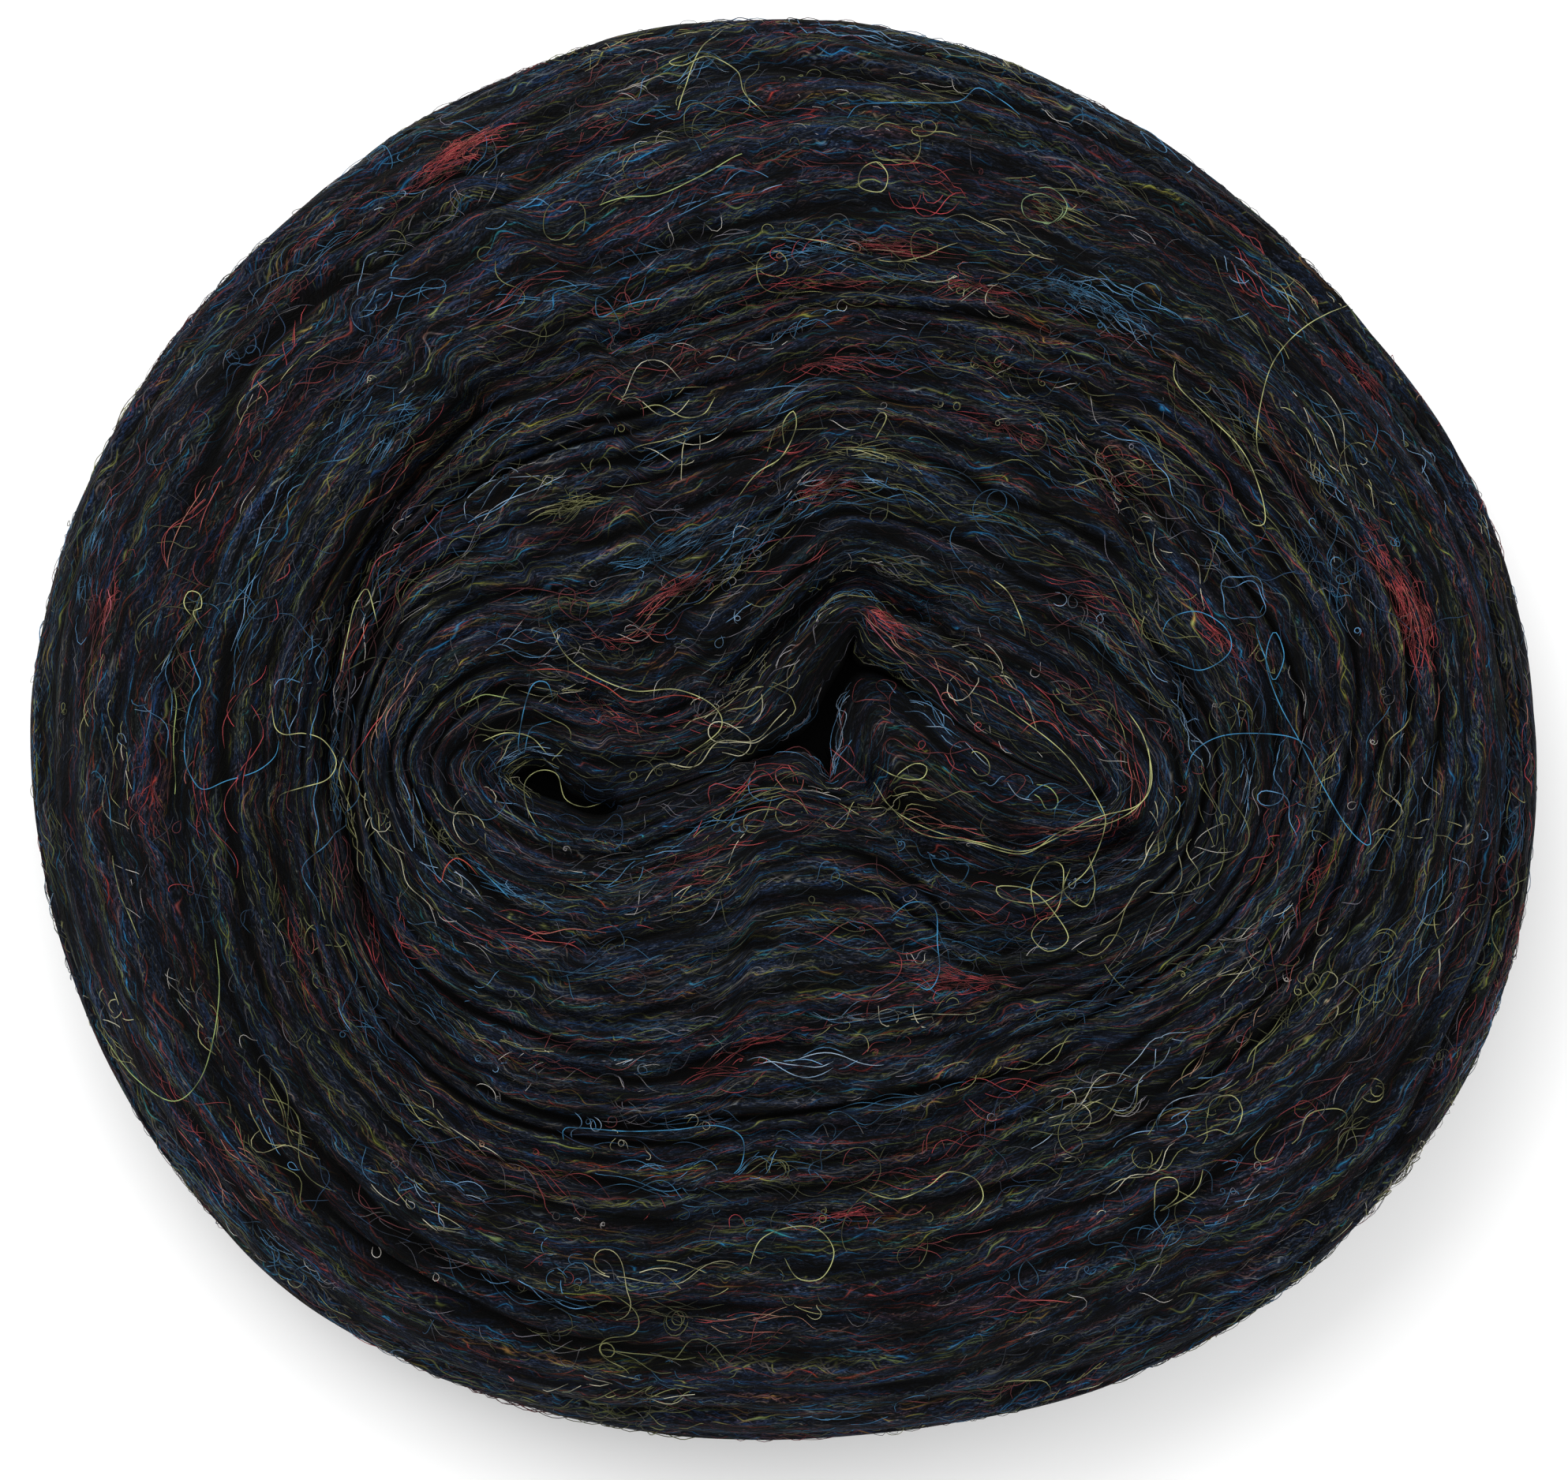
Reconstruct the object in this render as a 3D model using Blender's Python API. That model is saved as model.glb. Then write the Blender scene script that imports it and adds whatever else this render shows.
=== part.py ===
"""A yarn cake: a flat plate of wound, unspun wool roving whose empty core has fallen in.

The cake is one solid. Its layers are closed curves that run round the winding, from the wall
of the collapsed core out to the rim. A point of the surface has two coordinates: "turn", the
share of one turn round the winding, and "layer", 0 at the core's wall and 1 at the rim.
Five rings through a table of stations give the plan of every layer in between, and a section
carried round them gives the height: the lip of the core, the face, the rim and the underside.
The origin is the middle of the resting face, +Z is up and +X lies along the longer side.
"""
import bmesh
import bpy
import numpy as np

MM = 0.001

# Driving sizes, in millimetres unless the comment says otherwise.
HEIGHT = 45.0              # resting face to the crown of the upper face
RIM_CENTRE = (-0.18, -2.05)
RIM_SHARE = 0.30           # share of the layers that roll over into the side
RIM_SQUARENESS = 2.5       # 2 makes the side's section half round, more makes it straighter
CROWN_LAYER = 0.56         # the layer where the face is highest
CROWN_FALL = 9.0           # fall of the face, for one layer squared away from the crown
LIP_SHARE = 0.045          # share of the layers that roll down into the core
SEAM_DEPTH = 5.5           # depth of the closed seam of the core below the face
DIMPLE = 3.0               # rise of the underside at its core
DIMPLE_SHARE = 0.08        # share of the layers over which the underside rises
FOOT_FADE = 8.0            # height over which the side's layers smooth out to the flat foot

# Layers of roving that show: across the face, round the side, and how far they stand out.
FACE_LAYERS = 14
SIDE_LAYERS = 15
CREST = 0.6
VALLEY = 0.9
UNEVEN = 0.6               # how far crests and valleys vary along the winding, as a share
UNEVEN_WAVES = 6           # waves of that variation in one turn
SEED = 11

COLUMNS = 80               # steps round the winding
LIP_STEPS = (0.0, 0.12, 0.42)
UNDERSIDE_LAYERS = (0.40, DIMPLE_SHARE, 0.0)

# The rim's outline: mean radius and its waves round the cake.
# waves, size, angle of the crest in degrees
RIM_WAVES = (
    (0, 96.7, 0.0),
    (2, 2.75, -8.4),
    (3, 1.63, -28.1),
    (4, 0.55, -19.0),
    (5, 0.44, 19.8),
)

# Where the layers pass, at 20 stations round the winding, anticlockwise from the right.
# The rings lie at RING_LAYERS, and the last one is the rim, given by its angle in degrees.
# station, wall x, wall y, fold x, fold y, shoulder x, shoulder y, outer x, outer y, rim angle
STATIONS = (
    ("tongue tip", 37.0, -8.5, 48.0, -8.0, 61.0, -4.5, 78.5, -0.5, 0),
    ("tongue back", 25.5, -1.0, 37.0, 5.5, 49.5, 18.5, 69.0, 28.0, 24),
    ("tongue lip", 16.5, 5.5, 27.0, 11.5, 39.0, 28.0, 52.0, 46.0, 45),
    ("cleft right wall", 11.0, 9.0, 16.5, 17.0, 21.0, 35.5, 31.0, 55.5, 66),
    ("peak", 9.0, 11.5, 9.0, 19.5, 7.5, 38.0, 9.0, 58.0, 85),
    ("cleft left lip", 2.5, 5.5, 0.0, 13.0, -4.5, 33.5, -7.5, 55.5, 104),
    ("seam rise", -3.0, -2.5, -7.5, 5.5, -17.0, 29.0, -21.5, 50.5, 118),
    ("seam top", -13.0, -7.0, -17.5, 0.5, -28.0, 26.0, -32.0, 46.5, 129),
    ("hole right top", -24.0, -10.0, -26.5, 2.5, -38.0, 23.5, -43.5, 40.5, 141),
    ("hole top", -31.0, -5.5, -36.0, 3.0, -49.5, 16.0, -56.0, 25.5, 156),
    ("hole end", -36.0, -7.0, -45.5, -5.5, -56.5, -3.0, -65.0, -0.5, 178),
    ("hole foot", -31.5, -10.5, -39.0, -17.0, -51.5, -26.5, -61.0, -33.0, 203),
    ("hole right foot", -24.0, -13.0, -26.5, -21.5, -37.5, -39.0, -47.5, -52.0, 226),
    ("seam foot", -13.0, -9.5, -12.0, -18.0, -18.0, -41.5, -26.0, -61.0, 246),
    ("cleft left foot", -0.5, -5.5, -0.5, -13.5, -1.5, -38.5, -4.5, -62.0, 264),
    ("cleft foot", 6.5, -8.5, 9.5, -14.0, 13.0, -37.0, 16.5, -60.0, 281),
    ("lobe end", 9.5, -4.0, 14.0, -16.0, 20.5, -37.0, 26.0, -57.5, 290),
    ("lobe tip", 11.0, 5.5, 19.5, -18.5, 29.0, -36.5, 37.5, -54.0, 301),
    ("tongue belly", 23.0, -2.5, 34.0, -20.0, 42.5, -32.0, 54.0, -44.5, 317),
    ("crease end", 32.0, -7.5, 45.5, -15.5, 56.0, -21.0, 70.5, -27.5, 337),
)
RING_LAYERS = (0.0, 0.13, 0.36, 0.66, 1.0)

# Holes in the floor of the collapsed core, deeper than its closed seam.
# hole, x, y, radius, depth
HOLES = (
    ("left hole", -32.5, -7.5, 5.0, 18.0),
    ("left hole's right end", -26.0, -11.5, 4.0, 13.0),
    ("cleft", 6.0, -1.0, 9.5, 25.0),
    ("cleft under the peak", 8.0, 7.0, 6.5, 22.0),
)

# Grooves between layers that lie apart: soft troughs along the winding.
# groove, turn from, turn to, layer from, layer to, depth, half width in layers
GROOVES = (
    ("round the left lobe", 0.378, 0.527, 0.655, 0.49, 7.0, 0.045),
    ("over the upper folds", 0.220, 0.393, 0.635, 0.66, 3.5, 0.030),
    ("lower left, outer", 0.492, 0.566, 0.66, 0.70, 3.0, 0.030),
    ("lower left, inner", 0.512, 0.621, 0.41, 0.40, 4.5, 0.030),
    ("over the upper ridge", 0.150, 0.334, 0.105, 0.125, 8.0, 0.032),
    ("valley", 0.324, 0.423, 0.125, 0.135, 3.5, 0.025),
    ("upper valley", 0.329, 0.408, 0.200, 0.235, 3.0, 0.025),
    ("round the tongue", -0.040, 0.165, 0.052, 0.100, 2.6, 0.020),
    ("right, inner", -0.010, 0.050, 0.175, 0.285, 4.0, 0.025),
    ("right, middle", -0.020, 0.020, 0.350, 0.345, 3.0, 0.020),
    ("right, outer", -0.015, 0.035, 0.425, 0.450, 3.5, 0.020),
    ("upper right", 0.060, 0.188, 0.300, 0.525, 3.5, 0.025),
    ("under the belly", 0.680, 0.846, 0.400, 0.405, 3.0, 0.030),
    ("crease at the cleft", 0.786, 0.842, 0.020, 0.116, 6.0, 0.030),
    ("crease under the tongue", 0.820, 0.972, 0.112, 0.122, 8.0, 0.028),
    ("along the lobe, upper", 0.830, 0.915, 0.012, 0.050, 1.6, 0.012),
    ("along the lobe, lower", 0.822, 0.915, 0.032, 0.082, 1.5, 0.012),
    ("left of the arch", 0.779, 0.862, 0.290, 0.165, 3.2, 0.050),
    ("under the arch", 0.838, 0.922, 0.245, 0.165, 4.5, 0.042),
)
GROOVE_FADE = 0.022        # turn over which a groove fades at each end

# Broad swells and hollows of the face.
# swell, turn, layer, half length in turn, half width in layers, height
SWELLS = (
    ("left lobe", 0.492, 0.26, 0.110, 0.15, 1.2),
    ("upper hollow", 0.368, 0.20, 0.060, 0.12, -3.0),
    ("peak ridge", 0.230, 0.30, 0.070, 0.14, 1.6),
    ("upper ridge by the cleft", 0.279, 0.06, 0.060, 0.05, 1.5),
    ("tongue", 0.085, 0.07, 0.090, 0.06, 1.8),
    ("right hollow", 0.010, 0.33, 0.060, 0.14, -2.2),
    ("belly", 0.700, 0.22, 0.090, 0.14, 1.4),
    ("arch", 0.865, 0.16, 0.045, 0.05, 1.2),
    ("lower right hollow", 0.898, 0.36, 0.060, 0.12, -1.6),
    ("lobe", 0.865, 0.05, 0.060, 0.04, 1.2),
)

NODE = "wound_cake"
WOOL = (0.0137, 0.0152, 0.0185, 1.0)   # charcoal, linear
WOOL_ROUGHNESS = 0.95


def periodic_spline(knots, values, turn):
    """Value at each turn of the smooth closed curve through the values at uneven knots.

    Cubic Hermite pieces, with each knot's slope from the two chords that meet there.
    """
    count = len(knots)
    left = np.searchsorted(knots, turn % 1.0, side="right") - 1

    def knot(i):
        return knots[i % count] + i // count

    def value(i):
        return values[i % count]

    step = knot(left + 1) - knot(left)
    before = knot(left) - knot(left - 1)
    after = knot(left + 2) - knot(left + 1)
    along = ((turn % 1.0) - knot(left)) / step
    step, before, after, along = (a[:, None] for a in (step, before, after, along))
    chord_before = (value(left) - value(left - 1)) / before
    chord = (value(left + 1) - value(left)) / step
    chord_after = (value(left + 2) - value(left + 1)) / after
    slope_left = (chord * before + chord_before * step) / (before + step)
    slope_right = (chord_after * step + chord * after) / (step + after)
    return ((2 * along**3 - 3 * along**2 + 1) * value(left)
            + (along**3 - 2 * along**2 + along) * step * slope_left
            + (3 * along**2 - 2 * along**3) * value(left + 1)
            + (along**3 - along**2) * step * slope_right)


def ring_weights(layer):
    """Share of each ring at each layer: the natural cubic spline through the rings."""
    knots = np.array(RING_LAYERS)
    count = len(knots)
    gap = np.diff(knots)
    system = np.eye(count)
    right = np.zeros((count, count))
    for i in range(1, count - 1):
        system[i, i - 1:i + 2] = gap[i - 1], 2 * (gap[i - 1] + gap[i]), gap[i]
        right[i, i - 1:i + 2] = 6 / gap[i - 1], -6 / gap[i - 1] - 6 / gap[i], 6 / gap[i]
    bend = np.linalg.solve(system, right)
    i = np.clip(np.searchsorted(knots, layer, side="right") - 1, 0, count - 2)
    ring = np.eye(count)
    to_next = (knots[i + 1] - layer)[:, None]
    from_last = (layer - knots[i])[:, None]
    width = gap[i][:, None]
    return ((bend[i] * to_next**3 + bend[i + 1] * from_last**3) / (6 * width)
            + (ring[i] / width - bend[i] * width / 6) * to_next
            + (ring[i + 1] / width - bend[i + 1] * width / 6) * from_last)


def rim_point(angle):
    """Point of the rim's outline at an angle: its radius is a mean and a few cosine waves."""
    radius = sum(size * np.cos(waves * (angle - np.radians(crest)))
                 for waves, size, crest in RIM_WAVES)
    return np.stack([RIM_CENTRE[0] + radius * np.cos(angle),
                     RIM_CENTRE[1] + radius * np.sin(angle)], axis=-1)


def rings(turn):
    """The five rings at the given turns, ring by ring, from the wall of the core to the rim."""
    table = np.array([row[1:] for row in STATIONS], float)
    inner = [table[:, 2 * i:2 * i + 2] for i in range(4)]
    angle = np.radians(table[:, 8])

    def lengths(points):
        return np.linalg.norm(np.roll(points, -1, axis=0) - points, axis=1)

    step = np.sqrt(lengths(inner[1]) * lengths(rim_point(angle))) + lengths(inner[0]) / 2
    knots = np.concatenate([[0.0], np.cumsum(step)[:-1]]) / step.sum()
    curves = [periodic_spline(knots, ring, turn) for ring in inner]
    drift = periodic_spline(knots, (angle - 2 * np.pi * knots)[:, None], turn)[:, 0]
    curves.append(rim_point(2 * np.pi * turn + drift))
    return np.stack(curves)


def soft_box(distance, half, fade):
    """1 inside the half length, 0 past it and its fade, with a smooth step between."""
    x = np.clip((half + fade - np.abs(distance)) / fade, 0.0, 1.0)
    return x * x * (3 - 2 * x)


def turn_gap(turn, middle):
    """Signed distance round the winding, the short way."""
    return (turn - middle + 0.5) % 1.0 - 0.5


def face_relief(layer, turn):
    """Height that grooves and swells add to the face at a grid of layers and turns."""
    relief = np.zeros(layer.shape)
    for _, turn_from, turn_to, layer_from, layer_to, depth, half in GROOVES:
        middle = (turn_from + turn_to) / 2
        gap = turn_gap(turn, middle)
        along = np.clip(gap / (turn_to - turn_from) + 0.5, 0.0, 1.0)
        across = (layer - layer_from - (layer_to - layer_from) * along) / half
        window = soft_box(gap, (turn_to - turn_from) / 2 - GROOVE_FADE, GROOVE_FADE)
        relief -= depth * window * np.exp(-across**2)
    for _, middle, centre, half_turn, half_layer, height in SWELLS:
        reach = (turn_gap(turn, middle) / half_turn)**2 + ((layer - centre) / half_layer)**2
        relief += height * np.exp(-reach)
    return relief


def core_depth(points):
    """Depth of the core's floor below the face at plan points: a seam with deeper holes."""
    depth = np.full(points.shape[:-1], SEAM_DEPTH)
    for _, x, y, radius, hole in HOLES:
        reach = ((points[..., 0] - x)**2 + (points[..., 1] - y)**2) / radius**2
        depth = np.maximum(depth, SEAM_DEPTH + (hole - SEAM_DEPTH) * np.exp(-reach**2))
    return depth


def layer_ridges(count, rows, turn, seed):
    """Crests and valleys of the layers: rows counts layers, with a crest at each half.

    Each layer has its own crest height and valley depth, which vary along the winding as a
    few cosine waves with seeded sizes and phases.
    """
    random = np.random.default_rng(seed)
    waves = np.arange(1, UNEVEN_WAVES + 1)
    size = random.normal(0, 1, (2, count + 2, UNEVEN_WAVES)) * UNEVEN / np.sqrt(waves)
    phase = random.uniform(0, 2 * np.pi, (2, count + 2, UNEVEN_WAVES))
    cosines = np.cos(2 * np.pi * waves[:, None] * turn + phase[..., None])
    uneven = np.clip(1 + (size[..., None] * cosines).sum(axis=2), 0.1, 2.2)
    crest = CREST * uneven[0, np.floor(rows).astype(int)]
    valley = VALLEY * uneven[1, np.rint(rows).astype(int)]
    lift = np.sin(np.pi * rows)[:, None]**2
    return crest * lift - valley * (1 - lift)


def rim_section(count):
    """Layer, height and slope angle of each row round the side, evenly spaced on its arc.

    The section is a superellipse: its half width is RIM_SHARE and its half height HEIGHT / 2.
    """
    angle = np.linspace(np.pi / 2, -np.pi / 2, 721)
    power = 2 / RIM_SQUARENESS
    across = np.abs(np.cos(angle))**power
    up = np.sign(np.sin(angle)) * np.abs(np.sin(angle))**power
    half = HEIGHT / 2
    length = np.concatenate([[0], np.cumsum(np.hypot(np.diff(across * half), np.diff(up * half)))])
    even = np.linspace(0, length[-1], count)
    slope = np.interp(even, length, angle)
    layer = 1 - RIM_SHARE + RIM_SHARE * np.interp(even, length, across)
    return layer, half + half * np.interp(even, length, up), slope


def cake_points():
    """The surface as a grid of points, row by row from the core's wall to the underside's."""
    turn = np.arange(COLUMNS) / COLUMNS
    face_rows = np.arange(2 * FACE_LAYERS) / 2
    face = LIP_SHARE + (1 - RIM_SHARE - LIP_SHARE) * face_rows / FACE_LAYERS
    side, side_height, slope = rim_section(2 * SIDE_LAYERS + 1)
    side_rows = np.arange(len(side)) / 2
    lip = LIP_SHARE * np.array(LIP_STEPS)
    under = np.array(UNDERSIDE_LAYERS)
    layer = np.concatenate([lip, face, side, under])

    weights = ring_weights(layer)
    curves = rings(turn)
    plan = np.einsum("lr,rtc->ltc", weights, curves)
    nudge = 0.001
    outward = np.einsum("lr,rtc->ltc", ring_weights(layer + nudge) - weights, curves)
    outward /= np.linalg.norm(outward, axis=2, keepdims=True)

    grid_layer = np.repeat(layer[:, None], COLUMNS, axis=1)
    crown = HEIGHT - CROWN_FALL * (layer - CROWN_LAYER)**2
    top = crown[:, None] + face_relief(grid_layer, turn[None, :])
    lip_end = len(lip)
    face_end = lip_end + len(face)
    side_end = face_end + len(side)
    height = np.zeros(top.shape)
    height[:face_end] = top[:face_end]

    # The lip rolls over a quarter ellipse down to the floor of the core.
    roll = 1 - np.sqrt(1 - (1 - lip / LIP_SHARE)**2)
    height[:lip_end] -= core_depth(plan[:lip_end]) * roll[:, None]

    # The side keeps the face's own level at its top and is exactly flat at its foot.
    share = np.clip(side_height / HEIGHT, 0, 1)[:, None]
    height[face_end:side_end] = side_height[:, None] + (top[face_end:side_end] - HEIGHT) * share**4

    # Layers stand out along the surface: up on the face, outwards round the side.
    ridges = np.zeros(top.shape)
    ridges[lip_end:face_end] = layer_ridges(FACE_LAYERS, face_rows, turn, SEED)
    ridges[lip_end] *= 0.5
    ridges[face_end:side_end] = layer_ridges(SIDE_LAYERS, side_rows, turn, SEED + 1)
    tilt = np.full(len(layer), np.pi / 2)
    tilt[face_end:side_end] = slope
    ridges[face_end:side_end] *= np.clip(side_height / FOOT_FADE, 0, 1)[:, None]
    height += ridges * np.sin(tilt)[:, None]
    plan += outward * (ridges * np.cos(tilt)[:, None])[..., None]

    # The underside is flat and rises a little at its core.
    height[side_end:] = DIMPLE * (1 - np.clip(under / DIMPLE_SHARE, 0, 1))[:, None]
    return np.concatenate([plan, height[..., None]], axis=2) * MM


def closed_mesh(name, points):
    """Closed mesh of a grid that runs round: quads between rows and a cap on each end row."""
    rows, columns = points.shape[:2]
    row, column = np.meshgrid(np.arange(rows - 1), np.arange(columns), indexing="ij")
    ahead = (column + 1) % columns
    quads = np.stack([row * columns + column, (row + 1) * columns + column,
                      (row + 1) * columns + ahead, row * columns + ahead], axis=-1)
    faces = quads.reshape(-1, 4).tolist()
    faces.append(list(range(columns)))
    faces.append(list(range(rows * columns - 1, (rows - 1) * columns - 1, -1)))
    mesh = bpy.data.meshes.new(name)
    mesh.from_pydata(points.reshape(-1, 3).tolist(), [], faces)
    shape = bmesh.new()
    shape.from_mesh(mesh)
    caps = [face for face in shape.faces if len(face.verts) > 4]
    bmesh.ops.triangulate(shape, faces=caps, ngon_method="EAR_CLIP")
    shape.to_mesh(mesh)
    shape.free()
    mesh.validate()
    return mesh


def wool_material():
    """Charcoal unspun wool: matt all over."""
    material = bpy.data.materials.new("charcoal_wool")
    material.use_nodes = True
    shader = material.node_tree.nodes["Principled BSDF"]
    shader.inputs["Base Color"].default_value = WOOL
    shader.inputs["Roughness"].default_value = WOOL_ROUGHNESS
    shader.inputs["Metallic"].default_value = 0.0
    return material


def main():
    for thing in list(bpy.data.objects):
        bpy.data.objects.remove(thing, do_unlink=True)
    collection = bpy.data.collections.new("yarn_cake")
    bpy.context.scene.collection.children.link(collection)
    mesh = closed_mesh(NODE, cake_points())
    mesh.materials.append(wool_material())
    cake = bpy.data.objects.new(NODE, mesh)
    collection.objects.link(cake)
    mesh.shade_smooth()


main()
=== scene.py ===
"""Looks of the yarn cake: the wound roving and the fibres that stand out of it.

Every length below is in millimetres unless its comment says otherwise, and is turned to
metres where it enters a mesh. The cake is described by two coordinates: "turn", the share of
one turn round the winding, and "layer", 0 at the wall of the collapsed core and 1 at the rim.
"""

import math

import bpy
import numpy as np
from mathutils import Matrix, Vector


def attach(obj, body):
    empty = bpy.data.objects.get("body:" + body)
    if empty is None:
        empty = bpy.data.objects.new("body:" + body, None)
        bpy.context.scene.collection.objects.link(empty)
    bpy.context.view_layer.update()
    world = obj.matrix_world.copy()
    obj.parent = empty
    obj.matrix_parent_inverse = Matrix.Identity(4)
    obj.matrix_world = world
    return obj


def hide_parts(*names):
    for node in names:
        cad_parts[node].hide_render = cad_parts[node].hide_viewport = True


bl_info = {
    "name": "Yarn Cake",
    "version": (1, 0, 0),
    "blender": (4, 5, 0),
    "location": "3D View > Sidebar > Yarn Cake",
    "description": "Builds a wound cake of unspun wool roving with its loose fibres",
    "category": "Add Mesh",
}

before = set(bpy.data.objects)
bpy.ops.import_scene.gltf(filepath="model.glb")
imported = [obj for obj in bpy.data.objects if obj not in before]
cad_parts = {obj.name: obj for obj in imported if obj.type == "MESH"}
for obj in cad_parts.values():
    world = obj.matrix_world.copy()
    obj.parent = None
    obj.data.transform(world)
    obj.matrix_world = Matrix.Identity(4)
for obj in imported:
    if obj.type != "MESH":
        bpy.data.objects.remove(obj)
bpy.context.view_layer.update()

MM = 0.001
NODE = "wound_cake"
BODY = "root"

# The solid's own driving sizes.
HEIGHT = 45.0
RIM_CENTRE = (-0.18, -2.05)
RIM_SHARE = 0.30
RIM_SQUARENESS = 2.5
CROWN_LAYER = 0.56
CROWN_FALL = 9.0
LIP_SHARE = 0.045
SEAM_DEPTH = 5.5
DIMPLE = 3.0
DIMPLE_SHARE = 0.08
FOOT_FADE = 8.0
FACE_LAYERS = 14
SIDE_LAYERS = 15
CREST = 0.6
VALLEY = 0.9
UNEVEN = 0.6
UNEVEN_WAVES = 6
SEED = 11
GROOVE_FADE = 0.022

# waves, size, angle of the crest in degrees
RIM_WAVES = (
    (0, 96.7, 0.0),
    (2, 2.75, -8.4),
    (3, 1.63, -28.1),
    (4, 0.55, -19.0),
    (5, 0.44, 19.8),
)

# station, wall x, wall y, fold x, fold y, shoulder x, shoulder y, outer x, outer y, rim angle
STATIONS = (
    ("tongue tip", 37.0, -8.5, 48.0, -8.0, 61.0, -4.5, 78.5, -0.5, 0),
    ("tongue back", 25.5, -1.0, 37.0, 5.5, 49.5, 18.5, 69.0, 28.0, 24),
    ("tongue lip", 16.5, 5.5, 27.0, 11.5, 39.0, 28.0, 52.0, 46.0, 45),
    ("cleft right wall", 11.0, 9.0, 16.5, 17.0, 21.0, 35.5, 31.0, 55.5, 66),
    ("peak", 9.0, 11.5, 9.0, 19.5, 7.5, 38.0, 9.0, 58.0, 85),
    ("cleft left lip", 2.5, 5.5, 0.0, 13.0, -4.5, 33.5, -7.5, 55.5, 104),
    ("seam rise", -3.0, -2.5, -7.5, 5.5, -17.0, 29.0, -21.5, 50.5, 118),
    ("seam top", -13.0, -7.0, -17.5, 0.5, -28.0, 26.0, -32.0, 46.5, 129),
    ("hole right top", -24.0, -10.0, -26.5, 2.5, -38.0, 23.5, -43.5, 40.5, 141),
    ("hole top", -31.0, -5.5, -36.0, 3.0, -49.5, 16.0, -56.0, 25.5, 156),
    ("hole end", -36.0, -7.0, -45.5, -5.5, -56.5, -3.0, -65.0, -0.5, 178),
    ("hole foot", -31.5, -10.5, -39.0, -17.0, -51.5, -26.5, -61.0, -33.0, 203),
    ("hole right foot", -24.0, -13.0, -26.5, -21.5, -37.5, -39.0, -47.5, -52.0, 226),
    ("seam foot", -13.0, -9.5, -12.0, -18.0, -18.0, -41.5, -26.0, -61.0, 246),
    ("cleft left foot", -0.5, -5.5, -0.5, -13.5, -1.5, -38.5, -4.5, -62.0, 264),
    ("cleft foot", 6.5, -8.5, 9.5, -14.0, 13.0, -37.0, 16.5, -60.0, 281),
    ("lobe end", 9.5, -4.0, 14.0, -16.0, 20.5, -37.0, 26.0, -57.5, 290),
    ("lobe tip", 11.0, 5.5, 19.5, -18.5, 29.0, -36.5, 37.5, -54.0, 301),
    ("tongue belly", 23.0, -2.5, 34.0, -20.0, 42.5, -32.0, 54.0, -44.5, 317),
    ("crease end", 32.0, -7.5, 45.5, -15.5, 56.0, -21.0, 70.5, -27.5, 337),
)
RING_LAYERS = (0.0, 0.13, 0.36, 0.66, 1.0)

# hole, x, y, radius, depth
HOLES = (
    ("left hole", -32.5, -7.5, 5.0, 18.0),
    ("left hole's right end", -26.0, -11.5, 4.0, 13.0),
    ("cleft", 6.0, -1.0, 9.5, 25.0),
    ("cleft under the peak", 8.0, 7.0, 6.5, 22.0),
)

# groove, turn from, turn to, layer from, layer to, depth, half width in layers
GROOVES = (
    ("round the left lobe", 0.378, 0.527, 0.655, 0.49, 7.0, 0.045),
    ("over the upper folds", 0.220, 0.393, 0.635, 0.66, 3.5, 0.030),
    ("lower left, outer", 0.492, 0.566, 0.66, 0.70, 3.0, 0.030),
    ("lower left, inner", 0.512, 0.621, 0.41, 0.40, 4.5, 0.030),
    ("over the upper ridge", 0.150, 0.334, 0.105, 0.125, 8.0, 0.032),
    ("valley", 0.324, 0.423, 0.125, 0.135, 3.5, 0.025),
    ("upper valley", 0.329, 0.408, 0.200, 0.235, 3.0, 0.025),
    ("round the tongue", -0.040, 0.165, 0.052, 0.100, 2.6, 0.020),
    ("right, inner", -0.010, 0.050, 0.175, 0.285, 4.0, 0.025),
    ("right, middle", -0.020, 0.020, 0.350, 0.345, 3.0, 0.020),
    ("right, outer", -0.015, 0.035, 0.425, 0.450, 3.5, 0.020),
    ("upper right", 0.060, 0.188, 0.300, 0.525, 3.5, 0.025),
    ("under the belly", 0.680, 0.846, 0.400, 0.405, 3.0, 0.030),
    ("crease at the cleft", 0.786, 0.842, 0.020, 0.116, 6.0, 0.030),
    ("crease under the tongue", 0.820, 0.972, 0.112, 0.122, 8.0, 0.028),
    ("along the lobe, upper", 0.830, 0.915, 0.012, 0.050, 1.6, 0.012),
    ("along the lobe, lower", 0.822, 0.915, 0.032, 0.082, 1.5, 0.012),
    ("left of the arch", 0.779, 0.862, 0.290, 0.165, 3.2, 0.050),
    ("under the arch", 0.838, 0.922, 0.245, 0.165, 4.5, 0.042),
)

# swell, turn, layer, half length in turn, half width in layers, height
SWELLS = (
    ("left lobe", 0.492, 0.26, 0.110, 0.15, 1.2),
    ("upper hollow", 0.368, 0.20, 0.060, 0.12, -3.0),
    ("peak ridge", 0.230, 0.30, 0.070, 0.14, 1.6),
    ("upper ridge by the cleft", 0.279, 0.06, 0.060, 0.05, 1.5),
    ("tongue", 0.085, 0.07, 0.090, 0.06, 1.8),
    ("right hollow", 0.010, 0.33, 0.060, 0.14, -2.2),
    ("belly", 0.700, 0.22, 0.090, 0.14, 1.4),
    ("arch", 0.865, 0.16, 0.045, 0.05, 1.2),
    ("lower right hollow", 0.898, 0.36, 0.060, 0.12, -1.6),
    ("lobe", 0.865, 0.05, 0.060, 0.04, 1.2),
)

# How finely the visible surface is drawn: steps round the winding and rows across it.
COLUMNS = 380
LIP_ROWS = 8
FACE_ROWS = 130
SIDE_ROWS = 76
UNDER_ROWS = 40

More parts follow.
